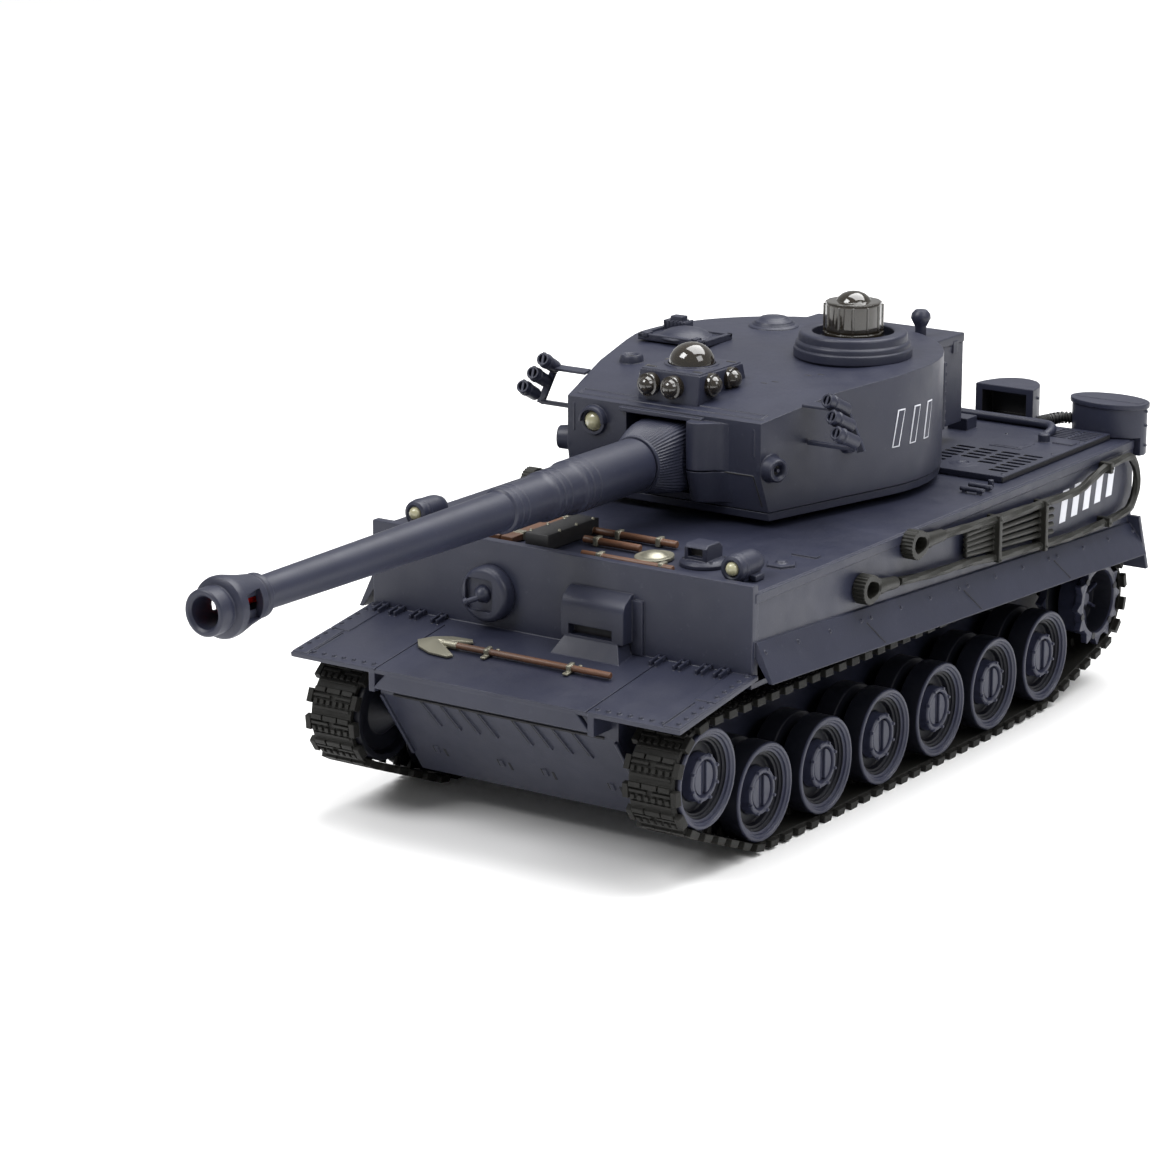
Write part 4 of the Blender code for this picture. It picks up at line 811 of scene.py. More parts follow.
def make_periscope():
    parts = [turned([(0, 1.9), (4.6, 1.9), (5.4, 1.6), (6.0, 0.9), (6.0, 0.1), (0, 0.1)],
                    at(32.0, -17.5, ROOF), 40)]
    hood = slab([(-21.6, 1.5), (-21.6, 5.0), (-20.6, 5.8), (-15.6, 5.8), (-14.2, 4.4), (-14.2, 1.5)], 28.8,
                35.2, "X", 0.4)
    parts.append(moved(carved(hood, box((29.9, 34.1), (-23.0, -19.4), (2.7, 4.8), 0)), at(0, 0, ROOF)))
    # Black sheet at the back of the slot: painted shade.
    parts.append(moved(painted(box((29.9, 34.1), (-19.9, -19.3), (2.6, 4.9), 0), 1), at(0, 0, ROOF)))
    parts += [stud((32.0 + 5.0 * cos(a), -17.5 + 5.0 * sin(a), ROOF + 1.75), (0, 0, 1), 0.5, 0.35)
              for a in (0.6, 2.5, 3.8, 5.6)]
    show("periscope_hood", "hull", ["driver_periscope"], parts, ["hull", "black"])


RACK_X = 58.0
CABLE_LOWER = [(15.0, 57.6), (31.0, 56.0), (47.0, 54.4), (65.0, 53.2), (79.0, 51.6), (106.0, 49.2),
               (125.0, 48.0), (141.0, 47.8)]
CABLE_UPPER = [(141.0, 63.2), (132.0, 61.4), (124.0, 59.9), (103.0, 60.6), (78.0, 61.8), (55.0, 63.2),
               (38.0, 63.9)]


def cable_eye(place, towards):
    """Rope thimble: a ribbed drop-shaped ring and its tapered socket."""
    heading = (Vector(towards) - Vector(place)).normalized()
    across = Vector((-heading.y, heading.x))
    ribs = 48
    outer, inner = [], []
    for k in range(ribs):
        angle = 2 * pi * k / ribs
        pull = max(0.0, cos(angle)) ** 4
        reach = 3.6 + 1.5 * pull + (0.2 if k % 2 else -0.12)
        hole = 2.15 + 1.75 * pull
        direction = heading * cos(angle) + across * sin(angle)
        outer.append(tuple(Vector(place) + direction * reach))
        inner.append(tuple(Vector(place) + direction * hole))
    ring = ring_slab(outer, inner, RACK_X - 1.7, RACK_X + 1.6)
    turn = Vector((0, *heading)).to_track_quat("Z", "Y").to_matrix().to_4x4()
    socket = turned([(0, 14.4), (1.25, 14.4), (1.6, 13.8), (1.75, 8.0), (2.1, 6.4), (1.9, 4.2), (0, 4.2)],
                    at(RACK_X, *place) @ turn, 20)
    return [ring, socket]


def make_side_rack(label, side):
    loop = arc(151.6, 56.0, 7.8, -75, 75, 6)
    line = CABLE_LOWER[1:-1] + [(141.0, 47.9)] + loop + CABLE_UPPER[:-2] + [(50.0, 63.4)]
    route = smooth_route([(RACK_X, y, z) for y, z in line], 1.1)
    parts = [tube(route, 1.05, 18, 6, 0.12, 0.42)]
    parts += cable_eye(CABLE_LOWER[0], CABLE_LOWER[1]) + cable_eye(CABLE_UPPER[-1], CABLE_UPPER[-2])
    parts += [box((HULL_HALF - 0.2, RACK_X + 1.9), (y - 0.75, y + 0.75), (low, high), 0.25)
              for y, low, high in ((79.5, 50.4, 62.8), (104.6, 48.0, 61.6), (141.0, 46.8, 49.4),
                                   (141.0, 61.6, 64.6))]
    parts += [stud((RACK_X + 1.9, y, z), (1, 0, 0), 0.5, 0.35) for y, z in
              ((79.5, 51.0), (79.5, 61.6), (104.6, 49.2), (104.6, 60.6), (141.0, 47.8), (141.0, 63.0))]
    for k in range(5):
        front, rear = 55.2 + 1.35 * k, 51.6 + 2.0 * k
        parts.append(rod((RACK_X - 0.4, 64.7, front), (RACK_X - 0.4, 111.6, rear), 0.72, 10))
    parts = [sided(part, side) for part in parts]
    show(f"tow_cable_{label}", "hull", [f"side_rack_{label}"], parts, ["olive"])


# ---------------------------------------------------------------- running gear

def wheel_height(index):
    return END_WHEEL_Z if index in (0, WHEEL_COUNT - 1) else WHEEL_Z


def axle_places():
    """(y, z) of every axle on one side, front to rear."""
    wheels = [(WHEEL_FIRST_Y + WHEEL_PITCH * i, wheel_height(i)) for i in range(WHEEL_COUNT)]
    return [IDLER] + wheels + [SPROCKET]


def hub_caps(y, z, height, radius):
    """Two D-shaped plates with an upright gap between them."""
    parts = []
    for start in (-81, 99):
        middle = 0.5 if start < 0 else -0.5
        cap = [(y + middle + u * 0.88, z + v) for u, v in arc(0, 0, radius, start, start + 162, 16)]
        parts.append(slab(cap, height - 1.4, height, "X", 0.25))
    return parts


def darkened(disc, y, z, dish_in, dish_out, front):
    """Painted shade in the dish and on everything behind the front face, and the tread darker as well, all in
    the second material.
    """
    for face in disc.faces:
        centre = face.calc_center_median() / MM
        radius = hypot(centre.y - y, centre.z - z)
        if dish_in < radius < dish_out or centre.x < 48.5 or (radius > 12.0 and centre.x < front):
            face.material_index = 1
    return disc


def wheel_tool(y, z):
    profile = [(0, 52.0), (4.3, 52.0), (4.5, 53.1), (4.7, 53.3), (5.4, 53.3), (5.7, 53.0), (5.9, 50.4),
               (6.2, 50.0), (8.3, 49.7), (8.6, 50.0), (8.7, 51.4), (9.25, 51.5), (9.3, 52.1), (9.85, 52.2),
               (9.9, 52.8), (10.5, 52.9), (10.6, 53.5), (11.1, 53.7), (11.3, 54.05), (11.6, 54.1),
               (12.0, 54.0), (12.3, 53.6), (12.3, 48.3), (12.0, 47.9), (8.0, 47.7), (5.0, 47.5), (5.0, 45.5),
               (8.0, 45.3), (12.0, 45.1), (12.3, 44.7), (12.3, 40.1), (12.0, 39.7), (10.6, 39.7), (9.8, 41.4),
               (6.0, 41.6), (3.0, 38.0), (1.2, 35.9), (1.2, 31.0), (0, 31.0)]
    disc = turned(profile, at(0, y, z) @ TO_X, 56)
    parts = [darkened(disc, y, z, 5.95, 9.95, 53.2)]
    parts += hub_caps(y, z, 52.95, 3.95)
    parts += [stud((53.2, y + 5.5 * cos(a), z + 5.5 * sin(a)), (1, 0, 0), 0.6, 0.5)
              for a in (pi * (k + 0.5) / 4 for k in range(8))]
    return joined(parts)


def star(centre, count, outer, root, sharp=0.0):
    """Toothed outline; each tooth has a root point and a tip, or a short flat if not sharp."""
    points = []
    for k in range(count):
        for radius, share in ((root, -0.30), (outer, -sharp), (outer, sharp), (root, 0.30)):
            angle = 2 * pi * (k + share) / count
            points.append((centre[0] + radius * cos(angle), centre[1] + radius * sin(angle)))
    return points


def sprocket_tool():
    y, z = SPROCKET
    profile = [(0, 49.6), (1.6, 49.6), (2.0, 49.2), (3.2, 48.8), (3.5, 47.6), (6.0, 46.8), (8.2, 47.4),
               (8.5, 50.0), (8.6, 52.8), (8.9, 53.3), (10.2, 53.4), (10.4, 53.1), (10.4, 51.4), (9.9, 51.0),
               (9.6, 46.0), (6.0, 45.4), (6.0, 44.0), (9.8, 43.2), (10.2, 42.8), (10.2, 40.4), (9.8, 40.0),
               (6.0, 40.2), (2.0, 37.0), (1.2, 35.9), (1.2, 22.0), (0, 22.0)]
    disc = turned(profile, at(0, y, z) @ TO_X, 56)
    parts = [darkened(disc, y, z, 2.5, 8.62, 40.0)]
    for low, high in ((51.6, 53.4), (40.4, 42.6)):
        outer = star(SPROCKET, SPROCKET_TEETH, 12.25, 10.3, 0.04)
        inner = star(SPROCKET, SPROCKET_TEETH, 8.9, 8.9, 0.04)
        parts.append(ring_slab(outer, inner, low, high))
    for k in range(8):
        turn = at(0, y, z) @ Matrix.Rotation(pi * k / 4 + 0.3, 4, "X")
        parts.append(moved(box((46.6, 48.6), (3.0, 8.4), (-0.35, 0.35), 0.2), turn))
    for k in range(6):
        turn = at(0, y, z) @ Matrix.Rotation(pi * (k + 0.25) / 3, 4, "X")
        # Dark discs in the holes: painted shade.
        hole = turned([(0, 0.12), (1.0, 0.12), (1.0, -0.3), (0, -0.3)], at(53.4, 9.6, 0) @ TO_X, 14)
        parts.append(moved(painted(hole, 1), turn))
    return joined(parts)


def hull_of(points):
    """Convex hull of flat points, anticlockwise."""
    points = sorted(points)

    def half(sequence):
        line = []
        for p in sequence:
            while len(line) > 1:
                (ax, ay), (bx, by) = line[-2], line[-1]
                if (bx - ax) * (p[1] - ay) - (by - ay) * (p[0] - ax) > 1e-9:
                    break
                line.pop()
            line.append(p)
        return line[:-1]

    return half(points) + half(points[::-1])


def belt_line(radius):
    """Closed belt line round the axles: arcs at the end wheels and straight runs between."""
    corners = hull_of(axle_places())
    line = []
    for index, (y, z) in enumerate(corners):
        before, after = corners[index - 1], corners[(index + 1) % len(corners)]
        start = atan2(z - before[1], y - before[0]) - pi / 2
        end = atan2(after[1] - z, after[0] - y) - pi / 2
        while end < start:
            end += 2 * pi
        count = max(2, int(degrees(end - start) / 3) + 1)
        line += arc(y, z, radius, degrees(start), degrees(end), count)
    return [Vector(p) for p in line]


class Belt:
    """Turns (across, along, out) places into world places on the belt."""

    def __init__(self, radius):
        self.line = belt_line(radius)
        self.marks = [0.0]
        for a, b in zip(self.line, self.line[1:] + self.line[:1]):
            self.marks.append(self.marks[-1] + (b - a).length)
        self.length = self.marks[-1]

    def place(self, across, along, out):
        along %= self.length
        index = max(k for k, mark in enumerate(self.marks[:-1]) if mark <= along)
        a, b = self.line[index], self.line[(index + 1) % len(self.line)]
        ahead = (b - a).normalized()
        spot_on = a + ahead * (along - self.marks[index])
        return Vector((across, spot_on.x + ahead.y * out, spot_on.y - ahead.x * out)) * MM


def belt_block(tool, belt, across, along, out, top_shrink=0.12):
    """Small block on the belt, a little narrower at its outer end."""
    corners = []
    for n, trim in ((out[0], 0.0), (out[1], top_shrink)):
        corners.append([tool.verts.new(belt.place(x, s, n)) for x, s in
                        ((across[0] + trim, along[0] + trim), (across[1] - trim, along[0] + trim),
                         (across[1] - trim, along[1] - trim), (across[0] + trim, along[1] - trim))])
    bridged(tool, corners)


def track_tool():
    belt = Belt(TRACK_RADIUS)
    links = round(belt.length / LINK_PITCH)
    pitch = belt.length / links
    tool = bmesh.new()
    steps = links * 4
    rings = [[tool.verts.new(belt.place(x, belt.length * k / steps, n)) for x, n in
              ((41.0, 0.0), (53.1, 0.0), (53.1, 1.15), (41.0, 1.15))] for k in range(steps)]
    bridged(tool, rings, caps=False, loop=True)
    for link in range(links):
        s = link * pitch
        for low, high in ((41.2, 44.6), (44.9, 49.2), (49.5, 52.9)):
            belt_block(tool, belt, (low, high), (s + 0.35, s + 1.65), (1.0, TRACK_THICK))
        belt_block(tool, belt, (41.2, 46.2), (s + 2.0, s + 2.75), (1.0, TRACK_THICK - 0.15))
        belt_block(tool, belt, (47.6, 52.9), (s + 2.0, s + 2.75), (1.0, TRACK_THICK - 0.15))
        for k in range(6):
            x = 41.4 + 1.95 * k + (0.25 if link % 2 else 0.0)
            belt_block(tool, belt, (x, x + 1.25), (s + 3.1, s + 4.3), (1.0, TRACK_THICK))
        belt_block(tool, belt, (41.4, 52.7), (s + 4.65, s + 5.35), (1.0, TRACK_THICK - 0.3))
        for low, high in ((TRACK_IN, 41.3), (52.8, TRACK_OUT)):
            belt_block(tool, belt, (low, high), (s + 0.9, s + 4.5), (0.1, TRACK_THICK), 0.25)
        belt_block(tool, belt, (45.9, 47.1), (s + 2.0, s + 3.8), (-0.1, -2.4), 0.3)
    return tool


def make_running_gear():
    for label, side in SIDES:
        for index, (y, z) in enumerate(axle_places()[:-1]):
            name = f"idler_{label}" if index == 0 else f"road_wheel_{label}_{index}"
            show(f"{name}_disc", name, [name], sided(wheel_tool(y, z), side),
                 ["wheel", "tyre"])
        show(f"sprocket_{label}_star", f"sprocket_{label}", [f"sprocket_{label}"],
             sided(sprocket_tool(), side), ["wheel", "tyre"])
        show(f"track_{label}_belt", "hull", [f"track_{label}"], sided(track_tool(), side),
             ["track"], 30.0)


# ---------------------------------------------------------------- turret

ROOF_TILT = atan((ROOF_BREAK_Z - ROOF_FRONT_Z) / (ROOF_BREAK_Y - TURRET_FRONT))
ROOF_FRAME = at(TURRET_X, TURRET_FRONT, ROOF_FRONT_Z) @ Matrix.Rotation(ROOF_TILT, 4, "X")


def wall_place(angle_deg, height):
    """Place on the turret's round wall, and the frame there: X out, Y along the wall, Z up."""
    turn = Matrix.Rotation(radians(angle_deg), 4, "Z")
    return at(TURRET_X, TURRET_Y, height) @ turn @ at(TURRET_R, 0, 0)


def make_turret_shell():
    parts = [node_shape("turret_shell")]
    for y in (2.2, 5.2):
        parts.append(moved(box((-27.6, 27.6), (y, y + 0.5), (-0.2, 0.22), 0.1), ROOF_FRAME))
    for side in (-1, 1):
        parts.append(moved(box((side * 27.0, side * 27.5), (2.4, 5.6), (-0.2, 0.22), 0.1), ROOF_FRAME))
        parts.append(box((TURRET_X + side * 26.8, TURRET_X + side * 27.2),
                         (TURRET_FRONT - 0.12, TURRET_FRONT + 0.4), (85.8, 92.8), 0.05))
        port = Vector((side * 0.93, -0.36, 0)).normalized()
        turn = port.to_track_quat("Z", "Y").to_matrix().to_4x4()
        place = at(TURRET_X + side * 29.6, 19.6, 82.8) @ turn
        parts.append(turned([(0, 1.6), (1.5, 1.6), (1.6, 3.8), (2.6, 3.9), (3.0, 3.5), (3.2, 1.0), (3.8, 0.0),
                             (3.8, -1.5), (0, -1.5)], place, 28))
        # Black disc deep in the port: painted shade.
        parts.append(moved(painted(turned([(0, 1.9), (1.45, 1.9), (1.45, 1.2), (0, 1.2)], STAY, 16), 2),
                           place))
        parts.append(moved(turned([(0, 3.6), (0.5, 3.4), (0.6, 1.0), (0, 1.0)], STAY, 10), place))
    parts += mantlet_cheek()
    parts.append(box((TURRET_X - 12.6, TURRET_X + 12.2), (TURRET_FRONT - 1.2, TURRET_FRONT + 0.6),
                     (92.7, 93.9), 0.25))
    lamp = at(-23.2, TURRET_FRONT, 89.0) @ TO_FRONT
    parts.append(turned([(2.7, 0.9), (3.5, 0.9), (3.9, -0.4), (2.7, -0.4)], lamp, 28, True))
    hood = turned([(3.1, 2.0), (3.8, 1.8), (4.1, -0.4), (3.1, -0.4)], lamp, 28, True)
    parts.append(carved(hood, moved(box((-6, 6), (-6, -0.2), (-2, 4), 0), lamp)))
    parts += turret_wall_parts() + turret_roof_parts()
    show("turret_body", "turret", ["turret_shell"], parts, ["hull", "white", "black"])
    glass = turned([(0, 2.0), (1.4, 1.8), (2.3, 1.1), (2.7, 0.0), (2.7, -0.8), (0, -0.8)], lamp, 24)
    show("turret_lamp_glass", "turret", [], glass, ["lamp"])


def mantlet_cheek():
    """Rounded swelling beside the gun opening, parted from the undercut half by a thin dark line of painted
    shade.
    """
    outline = [(6.4, 17.6), (6.4, 13.4), (6.9, 12.5), (8.0, 12.0), (9.4, 12.0), (10.8, 12.6), (12.2, 13.8),
               (13.6, 15.2), (15.2, 16.0), (17.0, 16.25), (17.0, 17.6)]
    upper = slab(outline, UNDERCUT_TOP + 0.15, 93.3, "Z", 0.25)
    lower = slab(outline, 72.6, UNDERCUT_TOP - 0.15, "Z", 0.25)
    for vert in lower.verts:
        vert.co.y += (UNDERCUT_TOP * MM - vert.co.z) * UNDERCUT_SLOPE
    seams = [rod((16.0, TURRET_FRONT, UNDERCUT_TOP), (24.4, TURRET_FRONT, UNDERCUT_TOP), 0.16, 6),
             rod((24.4, TURRET_FRONT, UNDERCUT_TOP), (25.6, TURRET_FRONT + 2.3, 73.0), 0.16, 6)]
    return [upper, lower] + [painted(seam, 2) for seam in seams]


def turret_wall_parts():
    """Rail with teeth, spare-link blocks and the plain slanted bars on the round wall."""
    parts = []
    for angle in (40.0, 140.0):
        rail = wall_place(angle, 87.0)
        parts.append(moved(box((-0.4, 1.2), (-1.0, 1.0), (-9.0, 9.0), 0.3), rail))
        parts += [moved(box((0.8, 1.8), (0.6, 1.5), (-8.0 + 2.6 * k, -6.9 + 2.6 * k), 0.15), rail)
                  for k in range(7)]
    for start in (-13.0, 175.0):
        for k in range(3):
            bar = wall_place(start + 9.0 * k, 86.4)
            for inset, proud, colour in ((0.0, 0.10, 1), (0.32, 0.16, 0)):
                outline = [(-2.2 + inset, -4.8 + inset), (0.4 - inset, -4.8 + inset),
                           (2.4 - inset, 4.8 - inset), (-0.2 + inset, 4.8 - inset)]
                parts.append(moved(painted(slab(outline, -0.3, proud, "X", 0), colour), bar))
    return parts


def turret_roof_parts():
    """Roof vent, small cap with a dark disc of painted shade in its hollow, a thin dark line of painted shade
    along the front edge, and short marks.
    """
    top = TURRET_ROOF
    parts = [turned([(0, 2.7), (3.2, 2.6), (3.7, 2.2), (3.8, 1.7), (4.8, 1.7), (5.2, 1.4), (5.3, 0.7),
                     (6.4, 0.6), (6.8, 0.2), (6.8, -0.4), (0, -0.4)], at(-19.5, 95.5, top), 36),
             turned([(0, 1.0), (1.7, 1.0), (1.8, 1.7), (2.6, 1.8), (3.0, 1.3), (3.2, 0.0), (3.2, -0.8),
                     (0, -0.8)],
                    at(-30.0, 43.0, 98.9), 24),
             painted(turned([(0, 1.15), (1.6, 1.15), (1.6, 0.8), (0, 0.8)], at(-30.0, 43.0, 98.9), 20), 2)]
    rim_y, rim_z = TURRET_FRONT + 2.4, ROOF_FRONT_Z + 0.28
    parts.append(painted(rod((TURRET_X - 28.6, rim_y, rim_z), (TURRET_X + 28.6, rim_y, rim_z), 0.17, 6), 2))
    for x, y in ((12.0, 40.6), (13.8, 43.0), (18.0, 52.0), (20.6, 54.0)):
        parts.append(painted(box((x - 0.9, x + 0.9), (y - 0.2, y + 0.2), (98.5, roof_height(y) + 0.06), 0),
                             2))
    return parts


def roof_height(y):
    points = [(TURRET_FRONT, ROOF_FRONT_Z), (ROOF_BREAK_Y, ROOF_BREAK_Z), (69.0, TURRET_ROOF),
              (200.0, TURRET_ROOF)]
    for (y0, z0), (y1, z1) in zip(points, points[1:]):
        if y <= y1:
            return z0 + (z1 - z0) * (y - y0) / (y1 - y0)
    return TURRET_ROOF


def make_roof_fittings():
    top = TURRET_ROOF
    cupola = turned([(0, 3.1), (6.6, 3.1), (6.8, 3.9), (7.6, 3.9), (7.8, 3.1), (8.8, 3.1), (9.0, 3.7),
                     (10.4, 3.8), (10.6, 6.1), (11.0, 6.4), (13.4, 6.4), (13.9, 6.1), (14.1, 5.6),
                     (14.2, 4.1), (14.7, 3.8), (14.9, 3.4), (14.9, 2.5), (15.3, 2.2), (15.4, 1.8),
                     (15.4, 0.1), (15.0, -0.3), (0, -0.3)],
                    at(CUPOLA_X, CUPOLA_Y, top), 72)
    parts = [cupola]
    # Twelve dark blocks in the ring's groove: painted shade.
    for k in range(12):
        turn = at(CUPOLA_X, CUPOLA_Y, top) @ Matrix.Rotation(pi * k / 6, 4, "Z")
        parts.append(moved(painted(box((8.1, 9.9), (-0.9, 0.9), (3.0, 3.85), 0.1), 1), turn))
    show("cupola_ring", "turret", ["commander_cupola"], parts, ["hull", "seam"])

    crown = slab(arc(0, 0, 7.6, 0, 330, 12), 3.5, 14.2, "Z", 1.0)
    parts = [crown, turned([(7.0, 6.2), (7.9, 6.2), (8.0, 5.4), (7.9, 4.6), (7.0, 4.6)], STAY, 12, True),
             turned([(0, 16.7), (1.5, 16.5), (2.9, 16.0), (3.9, 15.2), (4.5, 14.3), (4.6, 13.9), (0, 13.9)],
                    STAY, 32)]
    for k in range(12):
        turn = Matrix.Rotation(pi * k / 6, 4, "Z")
        parts.append(moved(rod((7.5, 0, 4.0), (7.5, 0, 13.4), 0.35, 8), turn))
    show("ir_cap", "turret", ["ir_receiver_cap"],
         moved(joined(parts), at(CUPOLA_X, CUPOLA_Y, top)), ["smoked"])

    pod = slab([(20.6, 95.0), (21.4, 102.8), (41.6, 102.8), (43.0, 98.8), (43.0, 95.0)], -13.0, 5.0, "X", 0.4)
    parts = [pod, box((-12.6, 4.6), (21.8, 41.2), (102.6, 103.2), 0.2),
             turned([(6.1, 0.5), (6.9, 0.5), (7.1, 0), (6.1, 0)], at(-4.2, 32.0, 103.1), 40, True)]
    for x, y in ((-11.0, 24.0), (2.8, 24.0), (-11.0, 39.6), (2.8, 39.6)):
        parts.append(painted(box((x - 1.3, x + 1.3), (y - 0.5, y + 0.5), (103.1, 103.3), 0), 1))
    show("sensor_pod_case", "turret", ["sensor_pod"], parts, ["hull", "black"])
    glasses = []
    lamp_profile = [(0, 3.3), (0.9, 3.2), (1.7, 2.7), (2.2, 1.9), (2.3, 1.5), (2.9, 1.4), (3.0, 0.9),
                    (3.0, -1.0), (0, -1.0)]
    for x in (-9.4, -2.4):
        glasses.append(turned(lamp_profile, at(x, 20.6, 99.4) @ TO_FRONT, 28))
    for y in (26.6, 35.6):
        glasses.append(turned(lamp_profile, at(4.8, y, 99.9) @ TO_X, 28))
        glasses.append(turned(lamp_profile, at(-12.8, y, 99.9) @ TO_X.inverted(), 28))
    show("sensor_pod_lamps", "turret", [], glasses, ["smoked"])
    dome = turned([(5.9 * cos(a), 5.3 * sin(a)) for a in
                   (pi / 2 * (1 - k / 10) for k in range(10))] + [(5.9, 0.0), (5.9, -0.3), (0, -0.3)],
                  at(-4.2, 32.0, 103.5), 40)
    show("sensor_dome_glass", "turret", ["sensor_dome"], dome, ["smoked"])

    hatch = [box((-40.0, -19.0), (60.6, 74.2), (top - 0.1, top + 1.0), 0.3)]
    hatch += [box(x, y, (top + 0.8, top + 1.7), 0.25) for x, y in
              (((-40.0, -38.6), (60.6, 74.2)), ((-20.4, -19.0), (60.6, 74.2)), ((-40.0, -19.0), (60.6, 62.0)),
               ((-40.0, -19.0), (72.8, 74.2)))]
    hatch.append(turned([(0, 3.3), (2.6, 3.15), (4.6, 2.6), (6.0, 1.9), (6.6, 1.3), (7.2, 1.2), (7.4, 0.8),
                         (0, 0.8)],
                        at(-29.5, 67.4, top), 40))
    hatch += [box((-38.2, -36.6), (60.2, 63.0), (top + 0.9, top + 2.1), 0.2),
              box((-23.0, -21.4), (60.2, 63.0), (top + 0.9, top + 2.1), 0.2)]
    hatch.append(box((-38.4, -31.8), (71.0, 75.0), (top + 0.4, top + 3.4), 0.4))
    hatch += [box((-38.6 + 1.2 * k, -38.0 + 1.2 * k), (70.8, 75.2), (top + 0.4, top + 3.6), 0.1)
              for k in range(6)]
    hatch.append(box((-37.0, -33.2), (71.6, 74.4), (top + 3.2, top + 4.8), 0.3))
    show("loader_hatch_frame", "turret", ["loader_hatch"], hatch, ["hull"])

    bin_shape = carved(box((-24.6, 21.0), (104.0, 127.2), (73.6, 96.4), 0.6), turret_column(0.2))
    lid = carved(box((-24.9, 21.3), (103.6, 127.2), (95.6, 98.2), 0.5), turret_column(0.2))
    parts = [bin_shape, lid, turned([(0, 7.4), (1.6, 7.2), (2.5, 6.2), (2.7, 5.0), (2.0, 3.6), (1.5, 2.6),
                                     (1.5, 0), (0, 0)],
                                    at(13.7, 116.5, 98.0), 24)]
    parts += [box((x, x + 2.4), (126.9, 127.2), (93.6, 97.0), 0.1) for x in (-16.0, 10.0)]
    parts += [box((21.0, 21.4), (y, y + 2.4), (93.4, 96.6), 0.1) for y in (110.0, 121.0)]
    show("stowage_bin_box", "turret", ["stowage_bin"], parts, ["hull"])


def turret_column(clearance):
    """The room the turret's round wall takes up."""
    return turned([(0, 130), (TURRET_R + clearance, 130), (TURRET_R + clearance, 60), (0, 60)],
                  at(TURRET_X, TURRET_Y, 0), 96)


def turret_outline(inset):
    """Horseshoe plan: flat front, sides running out to a round rear."""
    front, half, radius = TURRET_FRONT + inset, TURRET_FRONT_HALF - inset * 0.8, TURRET_R - inset
    distance = hypot(half, TURRET_Y - front)
    lean = degrees(acos(radius / distance))
    start = degrees(atan2(front - TURRET_Y, half)) + lean
    rear = arc(TURRET_X, TURRET_Y, radius, start, 180.0 - start, 29)
    return [(TURRET_X - half, front), (TURRET_X + half, front)] + rear


def make_launcher(label, side):
    """Three stub tubes on a bent arm."""
    lean = Vector((side * 1.3, 7.7, -3.7)).normalized()
    turn = lean.to_track_quat("Z", "Y").to_matrix().to_4x4()
    parts = [box((TURRET_X + side * 29.0, TURRET_X + side * 43.4), (29.2, 33.8), (96.9, 97.6), 0.2),
             box((TURRET_X + side * 28.2, TURRET_X + side * 29.4), (29.4, 33.6), (97.0, 98.4), 0.2)]
    plate = slab([(side * 42.6, 97.8), (side * 44.6, 97.6), (side * 49.6, 87.4), (side * 47.6, 86.8)], 31.4,
                 32.4, "Y", 0.15)
    parts.append(moved(plate, at(TURRET_X, 0, 0)))
    parts.append(box((TURRET_X + side * 33.6, TURRET_X + side * 47.6), (30.4, 32.0), (87.2, 88.2), 0.15))
    for row in range(3):
        mouth = (TURRET_X + side * (42.7 + 2.2 * row), 24.5 - 1.4 * row, 100.8 - 3.6 * row)
        place = at(*mouth) @ turn
        parts.append(turned([(0, 8.8), (1.2, 8.7), (1.75, 8.2), (1.8, 3.0), (2.0, 2.8), (2.0, 2.2),
                             (1.75, 2.0), (1.75, 0.3), (1.6, 0.0), (1.2, 0.0), (1.1, 0.4), (1.1, 2.4),
                             (0, 2.4)], place, 20))
        parts.append(moved(box((-0.35, 0.35), (-1.9, 1.9), (0.1, 1.2), 0.1), place))
        # Black disc inside each tube's mouth: painted shade.
        parts.append(moved(painted(turned([(0, 0.1), (1.0, 0.1), (1.0, -0.2), (0, -0.2)], at(0, 0, 1.9), 12),
                                   1), place))
    boss = turned([(0, 0.7), (2.4, 0.7), (2.9, 0.3), (2.9, -1.5), (0, -1.5)],
                  at(TURRET_X + side * 37.1, 45.0, 85.6) @ Matrix.Rotation(radians(side * 76), 4, "Y"), 24)
    column = slab(turret_outline(-0.2), 60.0, 110.0, "Z", 0)
    tool = joined([carved(joined(parts[:2] + parts[3:4]), column), parts[2], boss] + parts[4:])
    show(f"launcher_{label}", "turret", [f"smoke_launcher_{label}"], tool, ["hull", "black"])


# ---------------------------------------------------------------- gun

def sleeve_ring(share, ribs, relief):
    """Cross-section of the mantlet's sleeve: a rounded square at 0 turning into a circle at 1."""
    points = []
    for k in range(ribs * 2):
        angle = pi * k / ribs
        c, s = cos(angle), sin(angle)
        square = 1.0 / (abs(c / 8.45) ** 5 + abs(s / 8.7) ** 5) ** 0.2
        reach = square + (7.1 - square) * share + (relief if k % 2 else 0.0)
        points.append((reach * c, reach * s - 0.1 * (1 - share)))
    return points


def make_mantlet():
    """Pivot drum and the ribbed sleeve that grows from it round the gun."""
    ribs = 66
    tool = bmesh.new()
    stations = [(0.0, 0.0, 0.0), (1.0, 0.0, 0.3), (5.0, 0.12, 0.3), (9.0, 0.45, 0.3), (12.0, 0.8, 0.3),
                (13.6, 1.0, 0.28), (13.8, 1.0, 0.0), (14.6, 1.0, 0.0)]
    bridged(tool, [[tool.verts.new(point(TURRET_X + x, PIVOT_Y - along, GUN_Z + z))
                    for x, z in sleeve_ring(share, ribs, relief)] for along, share, relief in stations])
    drum = turned([(0, 8.4), (7.6, 8.4), (8.0, 8.0), (8.0, -8.0), (7.6, -8.4), (0, -8.4)],
                  at(TURRET_X, PIVOT_Y + 1.5, GUN_Z) @ TO_X, 48)
    show("mantlet_sleeve", "gun", ["mantlet"], joined([tool, drum]), ["hull"], 12.0)


